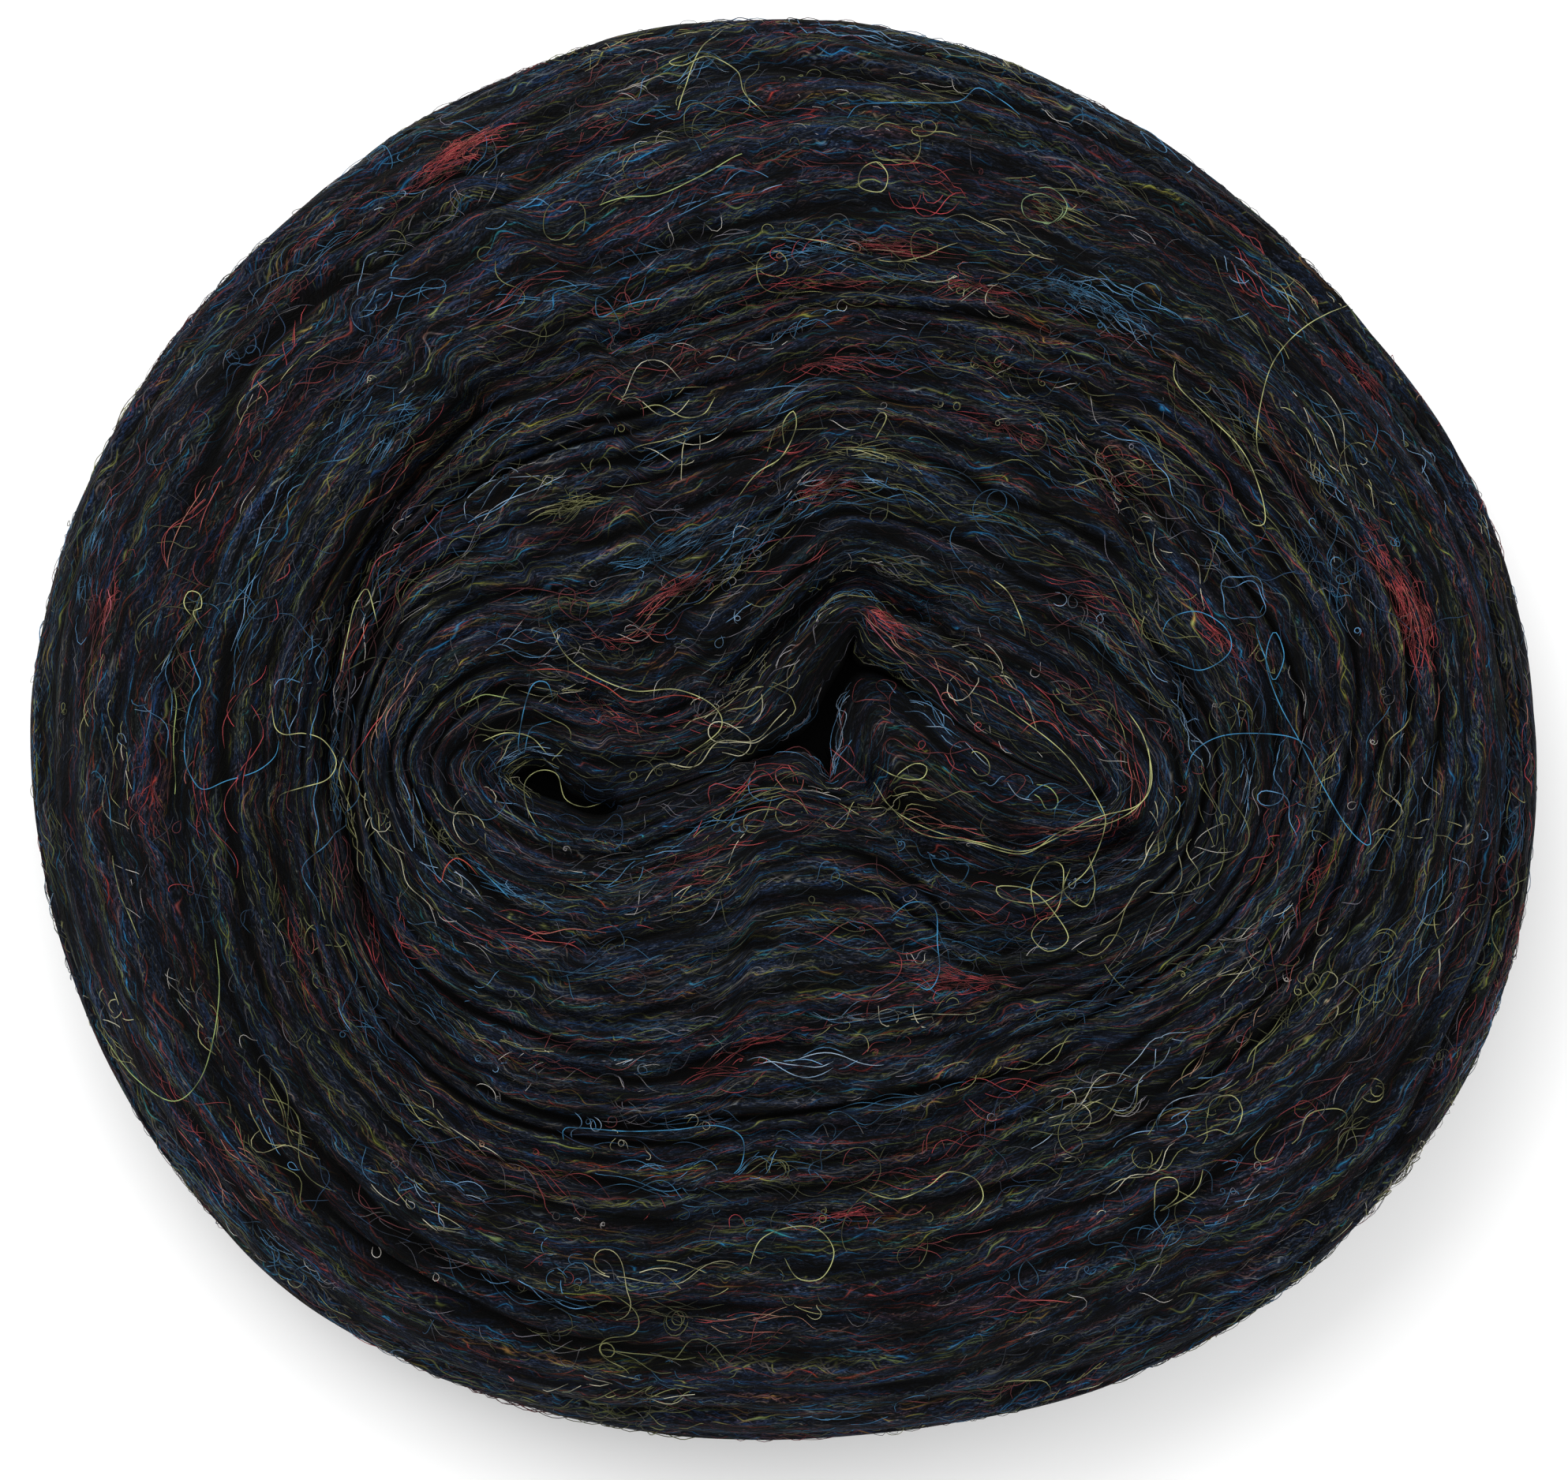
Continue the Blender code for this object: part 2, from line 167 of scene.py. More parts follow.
OWN_ACROSS = 0.25          # share of a column's own width in its distance across
UNDER_LAYERS = 14          # layers that show across the underside
UNDER_RELIEF = 0.9         # how deep its valleys go up from the resting surface
LEAST_HEIGHT = 0.02        # of the foot, the underside and their fibres above the floor
SEAM_FELT = 3.7            # depth of loose felt that lies in the closed seam
CLEFT_FLOOR = 11.0         # how deep the loose felt in the core's holes lies
SEAM_CLOSED = 0.94         # share of the way to the slit's middle that the felt of its lips goes
CLOSE_MOST = 7.0           # most that a lip's felt goes inwards
# Share of that way that stays open at each hole of the core.
STAY_OPEN = {"left hole": 0.70, "left hole's right end": 0.35, "cleft": 0.24,
             "cleft under the peak": 0.15}
SUNK_FROM = 5.0            # depth below the core's lip from which painted shade darkens its walls
SUNK_OVER = 6.0            # over how much depth the painted shade turns them black

# How the layers wander across the winding: size in layers, cells of noise across and round.
WANDER = ((0.32, 26, 15), (0.26, 44, 38))
MEAN_RADIUS = 70.0         # of the winding, for the length of its strands
LIP_RELIEF = 0.4           # share of the layers' relief that is left at the core's wall
UNDER_STRANDS = 0.25       # share of the strands' height that shows on the underside
HOLE_SHADE = 1.8           # how much a wall that is fully sunk counts as closed to the light
LIP_SHADE = 0.2            # the same for each mm of its lip's height above it
LIP_SHADE_MOST = 3.0       # and up to which height
WALL_OPENNESS = -1.5       # of the innermost row

# Strands that show on the layers: spacing across, length along, height.
STREAKS = (
    (2.4, 26.0, 0.50),
    (1.4, 12.0, 0.36),
    (0.8, 6.5, 0.20),
)

# Loose fibres that follow the winding, by piece. Each kind is laid in bundles.
# kind, count, in a bundle, segments, step, radius, lift, wander in radians, loops, least and
# most loop radius
FIBRES = {
    "grey_down": (
        ("fuzz", 3400, 4, 7, 0.75, 0.040, 0.28, 0.75, 0.0, 1.0, 1.0),
        ("curls", 540, 2, 12, 0.35, 0.042, 0.45, 0.80, 1.0, 0.6, 1.1),
    ),
    "olive_fibres": (
        ("long", 125, 2, 44, 0.62, 0.070, 0.55, 0.60, 1.2, 2.2, 3.6),
        ("locks", 700, 4, 14, 0.90, 0.060, 0.35, 0.60, 0.15, 2.2, 3.0),
        ("fine", 650, 6, 12, 0.80, 0.045, 0.28, 0.55, 0.0, 1.0, 1.0),
        ("curls", 480, 3, 14, 0.32, 0.050, 0.45, 0.80, 1.1, 0.6, 1.2),
    ),
    "blue_fibres": (
        ("long", 95, 2, 44, 0.62, 0.068, 0.55, 0.55, 1.1, 2.2, 3.6),
        ("locks", 600, 5, 14, 0.90, 0.058, 0.35, 0.55, 0.12, 2.2, 3.0),
        ("fine", 900, 7, 12, 0.80, 0.045, 0.28, 0.50, 0.0, 1.0, 1.0),
        ("curls", 380, 3, 14, 0.32, 0.050, 0.45, 0.80, 1.0, 0.6, 1.2),
    ),
    "red_fibres": (
        ("long", 55, 2, 44, 0.62, 0.068, 0.50, 0.55, 1.0, 2.2, 3.4),
        ("locks", 400, 5, 14, 0.90, 0.058, 0.35, 0.55, 0.10, 2.2, 3.0),
        ("fine", 880, 7, 12, 0.80, 0.045, 0.28, 0.50, 0.0, 1.0, 1.0),
        ("curls", 250, 3, 14, 0.32, 0.048, 0.45, 0.80, 0.9, 0.6, 1.2),
    ),
}
DULLNESS = 1.25            # power on a fibre's random tint: above 1, most are dark and dull
SIDE_LIFT = 0.4            # share of its lift that a fibre keeps on the side
WAVES = 4                  # slow waves in a fibre's way
WAVE_LENGTHS = (3.5, 22.0)
WAVE_STEPS = 7             # steps in the shortest wave of a fibre, so that it stays smooth
OWN_LENGTH = (0.9, 1.2)    # how a fibre's waves differ from its bundle's in length
OWN_PHASE = 0.7            # and in phase, in radians
OWN_SIZE = 0.6             # and in size
MOST_LOOPS = 3
LOOP_TURNS = (0.4, 1.15)   # least and most of a whole turn in a hook or loop
BUNDLE_SPREAD = (7.0, 1.1)  # length along the winding and width across it
TINT_SPREAD = 0.12         # how fibres of one bundle differ in tint
SPAN_LEVELS = (-0.7, 0.5)  # relief below which a fibre spans a valley
UNDER_LEVEL = -2.0         # the same on the underside, where it lies in the valleys
END_DEPTH = 0.25           # how deep a fibre's ends lie in the wool
WEAVE = 0.30               # how far it weaves up and down
WEAVE_LENGTHS = (4.0, 11.0)
LIFTS = (-0.25, 1.1)       # least and most share of its kind's lift
FIBRE_SIDES = 3

# Tufts of one colour that show in the photograph, by piece, placed by their pixel there. The
# tint is where the fibres' shades lie on their piece's ramp.
# x, y, length along the winding, width, count, tint
TUFTS = {
    "red_fibres": (
        (605, 198, 3.4, 1.0, 108, 0.70),
        (560, 232, 6.8, 1.0, 50, 0.52),
        (450, 290, 9.3, 1.0, 36, 0.37),
        (375, 380, 10.2, 1.4, 28, 0.32),
        (1735, 720, 6.0, 0.8, 36, 0.52),
        (1762, 768, 5.1, 0.9, 93, 0.68),
        (1792, 830, 5.1, 0.8, 43, 0.60),
        (1100, 788, 2.2, 0.6, 43, 0.64),
        (1025, 636, 2.2, 1.0, 43, 0.58),
        (850, 765, 2.9, 0.7, 43, 0.54),
        (1040, 480, 5.1, 0.8, 28, 0.44),
        (1150, 335, 5.1, 1.4, 43, 0.42),
        (1240, 385, 3.4, 0.8, 28, 0.54),
        (1530, 820, 4.2, 0.8, 36, 0.54),
        (1215, 1245, 4.2, 0.8, 64, 0.60),
        (1710, 490, 2.5, 0.8, 36, 0.60),
        (880, 1100, 4.2, 1.1, 28, 0.42),
        (1270, 560, 4.2, 1.1, 28, 0.37),
        (150, 800, 6.8, 1.4, 36, 0.42),
        (1890, 1240, 10.2, 1.6, 36, 0.47),
        (1060, 1535, 5.1, 1.1, 28, 0.42),
        (390, 1190, 6.0, 1.1, 21, 0.42),
    ),
    "blue_fibres": (
        (1390, 410, 6.8, 1.3, 68, 0.60),
        (830, 715, 2.9, 0.8, 43, 0.54),
        (640, 1130, 6.0, 0.8, 24, 0.50),
        (1040, 345, 6.0, 1.3, 37, 0.52),
        (540, 540, 7.6, 1.6, 37, 0.52),
        (130, 700, 7.6, 1.6, 31, 0.54),
    ),
    "olive_fibres": (
        (745, 655, 3.0, 0.8, 37, 0.54),
        (1070, 595, 6.8, 1.0, 43, 0.58),
        (648, 985, 3.4, 1.1, 12, 0.32),
        (1310, 285, 3.4, 1.3, 31, 0.54),
    ),
}
TUFT_KIND = (6, 0.90, 0.040, 0.30, 0.30)     # segments, step, radius, lift, wander
TUFT_LOOPS = (0.2, 0.6, 1.2)                 # loops, least and most loop radius
TUFT_BUNDLES = 4
TUFT_TINT_SPREAD = 0.20
STRAIGHTENS = 8.0          # length over which a fibre turns back to the winding after a hook

# Share of fibres on each zone of the surface, for its area: face, side and underside.
ZONE_WEIGHTS = (1.0, 0.70, 0.38)
LIP_WEIGHTS = (0.3, 0.7)   # from the core's wall up to its lip

# The stray fibres that stand out most in the photograph, along their pixels there.
# colour share of the ramp, lift, pixels x, y, ...
STRAYS = (
    ("straw", 1.0, (1705, 395, 1640, 435, 1600, 480, 1582, 540, 1580, 590, 1600, 622)),
    ("straw", 0.8, (700, 800, 730, 850, 800, 885, 860, 885, 905, 905, 915, 935, 870, 970)),
    ("straw", 0.8, (1190, 880, 1240, 895, 1290, 925, 1345, 970, 1385, 1030, 1390, 1060, 1372, 1105,
                    1345, 1130, 1310, 1150, 1265, 1145, 1258, 1130, 1300, 1135, 1330, 1165,
                    1345, 1195, 1320, 1210, 1300, 1190, 1315, 1170, 1340, 1165)),
    ("straw", 0.9, (1305, 1168, 1300, 1130, 1320, 1100, 1340, 1105, 1335, 1150, 1318, 1175)),
    ("straw", 0.9, (1350, 1105, 1340, 1135, 1365, 1155, 1378, 1130, 1372, 1090)),
    ("straw", 0.7, (1105, 1000, 1130, 1035, 1180, 1060, 1240, 1075, 1290, 1085, 1330, 1070,
                    1380, 1045, 1430, 1030, 1448, 1000, 1440, 950, 1420, 915, 1390, 880)),
    ("straw", 0.7, (1115, 1020, 1160, 1062, 1220, 1072, 1290, 1088, 1340, 1060, 1400, 1050,
                    1440, 1020, 1446, 975, 1437, 925)),
    ("azure", 0.8, (765, 455, 790, 440, 778, 410, 762, 400, 765, 425, 800, 410, 860, 398)),
    ("azure", 0.9, (1590, 775, 1578, 810, 1590, 850, 1600, 875, 1612, 845, 1600, 815, 1590, 850,
                    1605, 900, 1630, 950, 1660, 1010, 1690, 1060, 1715, 1080, 1712, 1045,
                    1700, 1015)),
    ("azure", 0.7, (1458, 830, 1470, 800, 1505, 790, 1540, 810, 1545, 840, 1510, 862, 1470, 850)),
    ("azure", 0.8, (1070, 175, 1090, 155, 1150, 152, 1210, 150, 1235, 132, 1262, 145, 1300, 175)),
    ("azure", 0.6, (1118, 1175, 1150, 1150, 1180, 1158, 1183, 1200, 1185, 1235, 1172, 1258,
                    1150, 1245)),
    ("green", 0.8, (140, 1310, 185, 1365, 235, 1395, 270, 1370, 290, 1310, 296, 1250, 290, 1195)),
    ("straw", 1.0, (885, 80, 850, 95, 868, 100, 900, 88, 935, 110, 945, 140, 980, 175)),
    ("straw", 0.9, (905, 60, 885, 85, 870, 130, 858, 172)),
    ("straw", 0.7, (1125, 245, 1110, 230, 1090, 240, 1088, 262, 1115, 268, 1122, 245, 1105, 225)),
    ("green", 0.7, (1290, 265, 1325, 262, 1345, 285, 1330, 305, 1295, 300, 1290, 278, 1315, 270,
                    1340, 290, 1320, 308, 1300, 290)),
    ("straw", 0.7, (1515, 1420, 1520, 1395, 1545, 1388, 1558, 1408, 1545, 1435, 1525, 1430,
                    1500, 1440)),
    ("straw", 0.8, (950, 1600, 965, 1565, 1000, 1550, 1035, 1552, 1055, 1580, 1040, 1612,
                    1010, 1612, 990, 1580)),
    ("straw", 0.8, (1080, 1500, 1130, 1515, 1170, 1500, 1195, 1482, 1228, 1490, 1238, 1515,
                    1215, 1535, 1195, 1528)),
    ("straw", 0.7, (1450, 1535, 1452, 1495, 1475, 1490, 1478, 1512, 1458, 1530, 1500, 1505,
                    1512, 1470)),
    ("azure", 0.5, (267, 820, 258, 838, 266, 862, 272, 880, 261, 900, 253, 940, 254, 976,
                    267, 1004, 280, 1010, 304, 1000, 342, 988, 364, 969, 369, 946)),
    ("azure", 0.6, (725, 1455, 722, 1430, 745, 1428, 800, 1432, 860, 1430, 910, 1425, 942, 1440,
                    940, 1475, 915, 1495)),
    ("straw", 0.6, (358, 880, 362, 915, 366, 935, 378, 943, 400, 941, 425, 950, 441, 976,
                    430, 998, 400, 1008, 372, 1016, 366, 1026)),
    ("rust", 0.5, (561, 1114, 570, 1126, 576, 1108, 588, 1096, 603, 1102, 618, 1120)),
    ("azure", 0.4, (612, 1104, 630, 1120, 657, 1147)),
    ("rust", 0.6, (453, 856, 466, 835, 474, 818, 480, 802)),
    ("straw", 0.5, (444, 868, 453, 826, 462, 786, 477, 762, 486, 785, 492, 814)),
    ("green", 0.4, (588, 910, 604, 902, 624, 893, 654, 898)),
    ("green", 0.4, (234, 874, 241, 904, 237, 952, 240, 1000, 237, 1030)),
    ("azure", 0.5, (129, 994, 138, 985, 150, 1000, 156, 1024, 159, 1060)),
    ("straw", 0.5, (158, 1080, 163, 1110, 170, 1138, 182, 1166, 198, 1204)),
    ("rust", 0.4, (150, 754, 156, 778, 149, 800, 144, 820)),
    ("straw", 0.5, (262, 798, 250, 780, 256, 764, 270, 768, 272, 784, 262, 790, 270, 806,
                    278, 818)),
    ("rust", 0.6, (1088, 790, 1118, 826, 1150, 858, 1178, 880, 1192, 905, 1210, 925)),
    ("rust", 0.5, (1284, 944, 1300, 928, 1320, 926, 1334, 938, 1342, 950)),
    ("straw", 0.5, (1124, 1006, 1136, 990, 1155, 978, 1170, 982, 1166, 995, 1150, 998,
                    1128, 992, 1108, 980)),
    ("green", 0.4, (1300, 1003, 1320, 1006, 1332, 1020, 1330, 1032, 1318, 1034, 1310, 1020,
                    1296, 1012)),
    ("straw", 0.4, (1222, 970, 1230, 962, 1246, 974, 1247, 990, 1234, 992, 1224, 980)),
    ("straw", 1.2, (690, 1060, 675, 1030, 672, 1000, 690, 985, 712, 990, 722, 1020, 745, 1030,
                    765, 1025)),
    ("straw", 0.7, (620, 950, 650, 940, 680, 945, 700, 965)),
    ("azure", 0.8, (705, 925, 680, 935, 672, 965, 665, 950, 680, 885, 700, 878, 708, 900)),
    ("rust", 0.8, (672, 862, 720, 862, 770, 880, 805, 900, 860, 892, 900, 900)),
    ("rust", 0.7, (1050, 955, 1072, 975, 1095, 1000, 1075, 1000, 1060, 1012)),
    ("straw", 0.6, (1245, 745, 1270, 765, 1285, 795, 1292, 820, 1280, 812)),
    ("straw", 0.6, (995, 590, 992, 560, 1005, 543, 1008, 565, 990, 600, 960, 620, 935, 650)),
    ("straw", 0.6, (1105, 580, 1120, 552, 1112, 545, 1098, 570)),
    ("straw", 0.7, (910, 520, 895, 545, 870, 550, 840, 535, 815, 538)),
    ("straw", 0.7, (1480, 470, 1478, 505, 1510, 540, 1560, 590, 1582, 640, 1588, 680, 1570, 680,
                    1555, 650)),
    ("azure", 0.7, (1490, 1000, 1500, 965, 1530, 945, 1570, 940, 1620, 945, 1650, 965)),
    ("green", 0.6, (745, 290, 790, 275, 840, 270, 890, 248, 930, 225, 960, 212)),
)
STRAY_TINTS = {"straw": 0.08, "green": 0.35, "azure": 0.70, "rust": 0.98}
STRAY_RADIUS = 0.062
STRAY_STEP = 0.5
STRAY_SIDES = 5
STRAY_EVEN = 6             # points on each side over which a stray's height is evened out
STRAY_DEPTH = 1.2          # how deep its ends lie below the highest wool
STRAY_RISE = 1.1           # how far its middle comes up from there, besides its lift

# Sets of hairs in the ground's own texture. A drift to the side is less than its own size
# across, so that no line folds back on itself.
# spacing, drift to the side, size of the drift across and along, run, half a hair's share
HAIRS = (
    (0.24, 1.7, 1.9, 2.0, 1.6, 0.34),
    (0.30, -2.1, 2.4, 2.6, 2.2, 0.30),
    (0.38, 2.6, 3.0, 3.2, 2.7, 0.27),
    (0.50, -3.7, 4.2, 4.6, 3.6, 0.24),
    (0.66, 4.6, 5.2, 5.6, 4.5, 0.16),
)
DRIFT_NOISE = (0.6, 5.7, 13.1)           # detail, place in the noise, and step to the next set's
HAIRS_APART = 5.3          # step from a hair to the next in the noise of how they dip
DIPS = (0.42, 0.60)        # where in that noise a hair is gone, and full
SETS_APART = 41.5          # step from a set to the next among the random shades
# Which share of the hairs each shade starts at; the hollow ones are painted shade between the
# hairs.
HAIR_SHADES = (
    ("hollow", 0.00), ("ground", 0.18), ("charcoal", 0.40), ("grey", 0.61), ("navy", 0.70),
    ("teal", 0.81), ("olive", 0.87), ("rust", 0.925), ("pale", 0.975),
)
# Streaks of noise: size across and along the winding, detail, place in the noise.
STREAK_NOISE = {
    "felt": (0.16, 0.9, 1.0, 0.0),
    "short felt": (0.22, 0.5, 1.0, 7.3),
    "strands": (1.3, 9.0, 1.0, 3.1),
}
FELT_STOPS = (0.47, 0.56, 0.66, 0.78)
BAND = (1.2, 13.0)         # size of a stretch of one dye across and along the winding
# Casts of dye: noise channel, where it starts and is full, most of it, gain of red, green, blue
CASTS = (
    ("Red", 0.42, 0.58, 0.85, (0.68, 0.95, 1.32)),
    ("Green", 0.56, 0.66, 0.75, (1.55, 0.60, 0.55)),
    ("Blue", 0.57, 0.67, 0.75, (1.15, 1.18, 0.55)),
)

# Photograph's scale, for places read from it: its box centre in pixels and mm for a pixel.
PHOTO_CENTRE = (994.5, 922.0)
PHOTO_MM = 0.1054


def periodic_spline(knots, values, turn):
    """Value at each turn of the smooth closed curve through the values at uneven knots.

    Cubic Hermite pieces, with each knot's slope from the two chords that meet there.
    """
    count = len(knots)
    left = np.searchsorted(knots, turn % 1.0, side="right") - 1

    def knot(i):
        return knots[i % count] + i // count

    def value(i):
        return values[i % count]

    step = knot(left + 1) - knot(left)
    before = knot(left) - knot(left - 1)
    after = knot(left + 2) - knot(left + 1)
    along = ((turn % 1.0) - knot(left)) / step
    step, before, after, along = (a[:, None] for a in (step, before, after, along))
    chord_before = (value(left) - value(left - 1)) / before
    chord = (value(left + 1) - value(left)) / step
    chord_after = (value(left + 2) - value(left + 1)) / after
    slope_left = (chord * before + chord_before * step) / (before + step)
    slope_right = (chord_after * step + chord * after) / (step + after)
    return ((2 * along**3 - 3 * along**2 + 1) * value(left)
            + (along**3 - 2 * along**2 + along) * step * slope_left
            + (3 * along**2 - 2 * along**3) * value(left + 1)
            + (along**3 - along**2) * step * slope_right)


def ring_weights(layer):
    """Share of each ring at each layer: the natural cubic spline through the rings."""
    knots = np.array(RING_LAYERS)
    count = len(knots)
    gap = np.diff(knots)
    system = np.eye(count)
    right = np.zeros((count, count))
    for i in range(1, count - 1):
        system[i, i - 1:i + 2] = gap[i - 1], 2 * (gap[i - 1] + gap[i]), gap[i]
        right[i, i - 1:i + 2] = 6 / gap[i - 1], -6 / gap[i - 1] - 6 / gap[i], 6 / gap[i]
    bend = np.linalg.solve(system, right)
    i = np.clip(np.searchsorted(knots, layer, side="right") - 1, 0, count - 2)
    ring = np.eye(count)
    to_next = (knots[i + 1] - layer)[:, None]
    from_last = (layer - knots[i])[:, None]
    width = gap[i][:, None]
    return ((bend[i] * to_next**3 + bend[i + 1] * from_last**3) / (6 * width)
            + (ring[i] / width - bend[i] * width / 6) * to_next
            + (ring[i + 1] / width - bend[i + 1] * width / 6) * from_last)


def rim_point(angle):
    """Point of the rim's outline at an angle: its radius is a mean and a few cosine waves."""
    radius = sum(size * np.cos(waves * (angle - np.radians(crest)))
                 for waves, size, crest in RIM_WAVES)
    return np.stack([RIM_CENTRE[0] + radius * np.cos(angle),
                     RIM_CENTRE[1] + radius * np.sin(angle)], axis=-1)


def rings(turn):
    """The five rings at the given turns, ring by ring, from the wall of the core to the rim."""
    table = np.array([row[1:] for row in STATIONS], float)
    inner = [table[:, 2 * i:2 * i + 2] for i in range(4)]
    angle = np.radians(table[:, 8])

    def lengths(points):
        return np.linalg.norm(np.roll(points, -1, axis=0) - points, axis=1)

    step = np.sqrt(lengths(inner[1]) * lengths(rim_point(angle))) + lengths(inner[0]) / 2
    knots = np.concatenate([[0.0], np.cumsum(step)[:-1]]) / step.sum()
    curves = [periodic_spline(knots, ring, turn) for ring in inner]
    drift = periodic_spline(knots, (angle - 2 * np.pi * knots)[:, None], turn)[:, 0]
    curves.append(rim_point(2 * np.pi * turn + drift))
    return np.stack(curves)


def smooth_step(share):
    """From 0 to 1 with a level start and end: three squares less two cubes of the share."""
    return share * share * (3 - 2 * share)


def soft_box(distance, half, fade):
    """1 inside the half length, 0 past it and its fade, with a smooth step between."""
    return smooth_step(np.clip((half + fade - np.abs(distance)) / fade, 0.0, 1.0))


def turn_gap(turn, middle):
    """Signed distance round the winding, the short way."""
    return (turn - middle + 0.5) % 1.0 - 0.5


def face_relief(layer, turn):
    """Height that grooves and swells add to the face at a grid of layers and turns."""
    relief = np.zeros(layer.shape)
    for _, turn_from, turn_to, layer_from, layer_to, depth, half in GROOVES:
        middle = (turn_from + turn_to) / 2
        gap = turn_gap(turn, middle)
        along = np.clip(gap / (turn_to - turn_from) + 0.5, 0.0, 1.0)
        across = (layer - layer_from - (layer_to - layer_from) * along) / half
        window = soft_box(gap, (turn_to - turn_from) / 2 - GROOVE_FADE, GROOVE_FADE)
        relief -= depth * window * np.exp(-across**2)
    for _, middle, centre, half_turn, half_layer, height in SWELLS:
        reach = (turn_gap(turn, middle) / half_turn)**2 + ((layer - centre) / half_layer)**2
        relief += height * np.exp(-reach)
    return relief


def core_depth(points):
    """Depth of the core's floor below the face at plan points: a seam with deeper holes."""
    depth = np.full(points.shape[:-1], SEAM_DEPTH)
    for _, x, y, radius, hole in HOLES:
        reach = ((points[..., 0] - x)**2 + (points[..., 1] - y)**2) / radius**2
        depth = np.maximum(depth, SEAM_DEPTH + (hole - SEAM_DEPTH) * np.exp(-reach**2))
    return depth


def slit_closing(wall):
    """How the felt of each wall point goes inwards, in mm, which leaves the holes partly open.

    The way to the slit's middle is the radius of the largest circle that touches the wall
    there and fits inside: the least of the other points' squared distance over twice their
    distance along the inward normal.
    """
    ahead = unit(np.roll(wall, -1, axis=0) - np.roll(wall, 1, axis=0))
    inward = np.stack([-ahead[:, 1], ahead[:, 0]], axis=1)
    apart = wall[None] - wall[:, None]
    inwards = (apart * inward[:, None]).sum(axis=2)
    radius = (apart**2).sum(axis=2) / np.maximum(2 * inwards, 1e-6)
    radius = radius.min(axis=1, initial=CLOSE_MOST, where=inwards > 0.02)
    even = sum(np.roll(radius, shift) for shift in range(-3, 4)) / 7
    share = np.ones(len(wall))
    for name, x, y, reach, _ in HOLES:
        away = ((wall - (x, y))**2).sum(axis=1) / reach**2
        share = np.minimum(share, 1 - STAY_OPEN[name] * np.exp(-away**2))
    return inward * (SEAM_CLOSED * share * np.minimum(even, radius))[:, None]


def layer_ridges(count, rows, turn, seed):
    """Crests and valleys of the layers: rows counts layers, with a crest at each half.

    Each layer has its own crest height and valley depth, which vary along the winding as a
    few cosine waves with seeded sizes and phases. Crests are broad and valleys narrow: the
    share of the crest is one less the fourth power of a cosine across the layer.
    """
    random = np.random.default_rng(seed)
    waves = np.arange(1, UNEVEN_WAVES + 1)
    size = random.normal(0, 1, (2, count + 2, UNEVEN_WAVES)) * UNEVEN / np.sqrt(waves)
    phase = random.uniform(0, 2 * np.pi, (2, count + 2, UNEVEN_WAVES))
    cosines = np.cos(2 * np.pi * waves[:, None] * turn + phase[..., None])
    uneven = np.clip(1 + (size[..., None] * cosines).sum(axis=2), 0.1, 2.2)
    rows = np.clip(rows, 0, count)
    column = np.broadcast_to(np.arange(len(turn)), rows.shape)
    below = np.floor(rows - 0.5).astype(int)
    share = smooth_step(rows - 0.5 - below)
    crest = ((1 - share) * uneven[0, np.maximum(below, 0), column]
             + share * uneven[0, below + 1, column]) * CREST
    valley = VALLEY * uneven[1, np.rint(rows).astype(int), column]
    lift = 1 - np.cos(np.pi * rows)**4
    return crest * lift - valley * (1 - lift)


def rim_section(count):
    """Layer, height and slope angle of each row round the side, evenly spaced on its arc.

    The section is a superellipse: its half width is RIM_SHARE and its half height HEIGHT / 2.
    """
    angle = np.linspace(np.pi / 2, -np.pi / 2, 721)
    power = 2 / RIM_SQUARENESS
    across = np.abs(np.cos(angle))**power
    up = np.sign(np.sin(angle)) * np.abs(np.sin(angle))**power
    half = HEIGHT / 2
    length = np.concatenate([[0], np.cumsum(np.hypot(np.diff(across * half), np.diff(up * half)))])
    even = np.linspace(0, length[-1], count)
    slope = np.interp(even, length, angle)
    layer = 1 - RIM_SHARE + RIM_SHARE * np.interp(even, length, across)
    return layer, half + half * np.interp(even, length, up), slope


def value_noise(across, turn, cells_across, cells_round, random):
    """Smooth noise from -1 to 1 on a grid: seeded values at lattice points, joined by smooth steps.

    across counts from 0 to 1 over the rows and turn from 0 to 1 round the winding, where the
    lattice closes on itself.
    """
    lattice = random.uniform(-1, 1, (cells_across + 2, cells_round))
    x = np.clip(across, 0, 1) * cells_across
    y = (turn % 1.0) * cells_round
    i = np.floor(x).astype(int)
    j = np.floor(y).astype(int)
    to_far = smooth_step(x - i)
    to_ahead = smooth_step(y - j)
    j, ahead = j % cells_round, (j + 1) % cells_round
    near = lattice[i, j] * (1 - to_ahead) + lattice[i, ahead] * to_ahead
    far = lattice[i + 1, j] * (1 - to_ahead) + lattice[i + 1, ahead] * to_ahead
    return near * (1 - to_far) + far * to_far


def unit(vectors):
    """Vectors scaled to length 1."""
    return vectors / np.maximum(np.linalg.norm(vectors, axis=-1, keepdims=True), 1e-9)


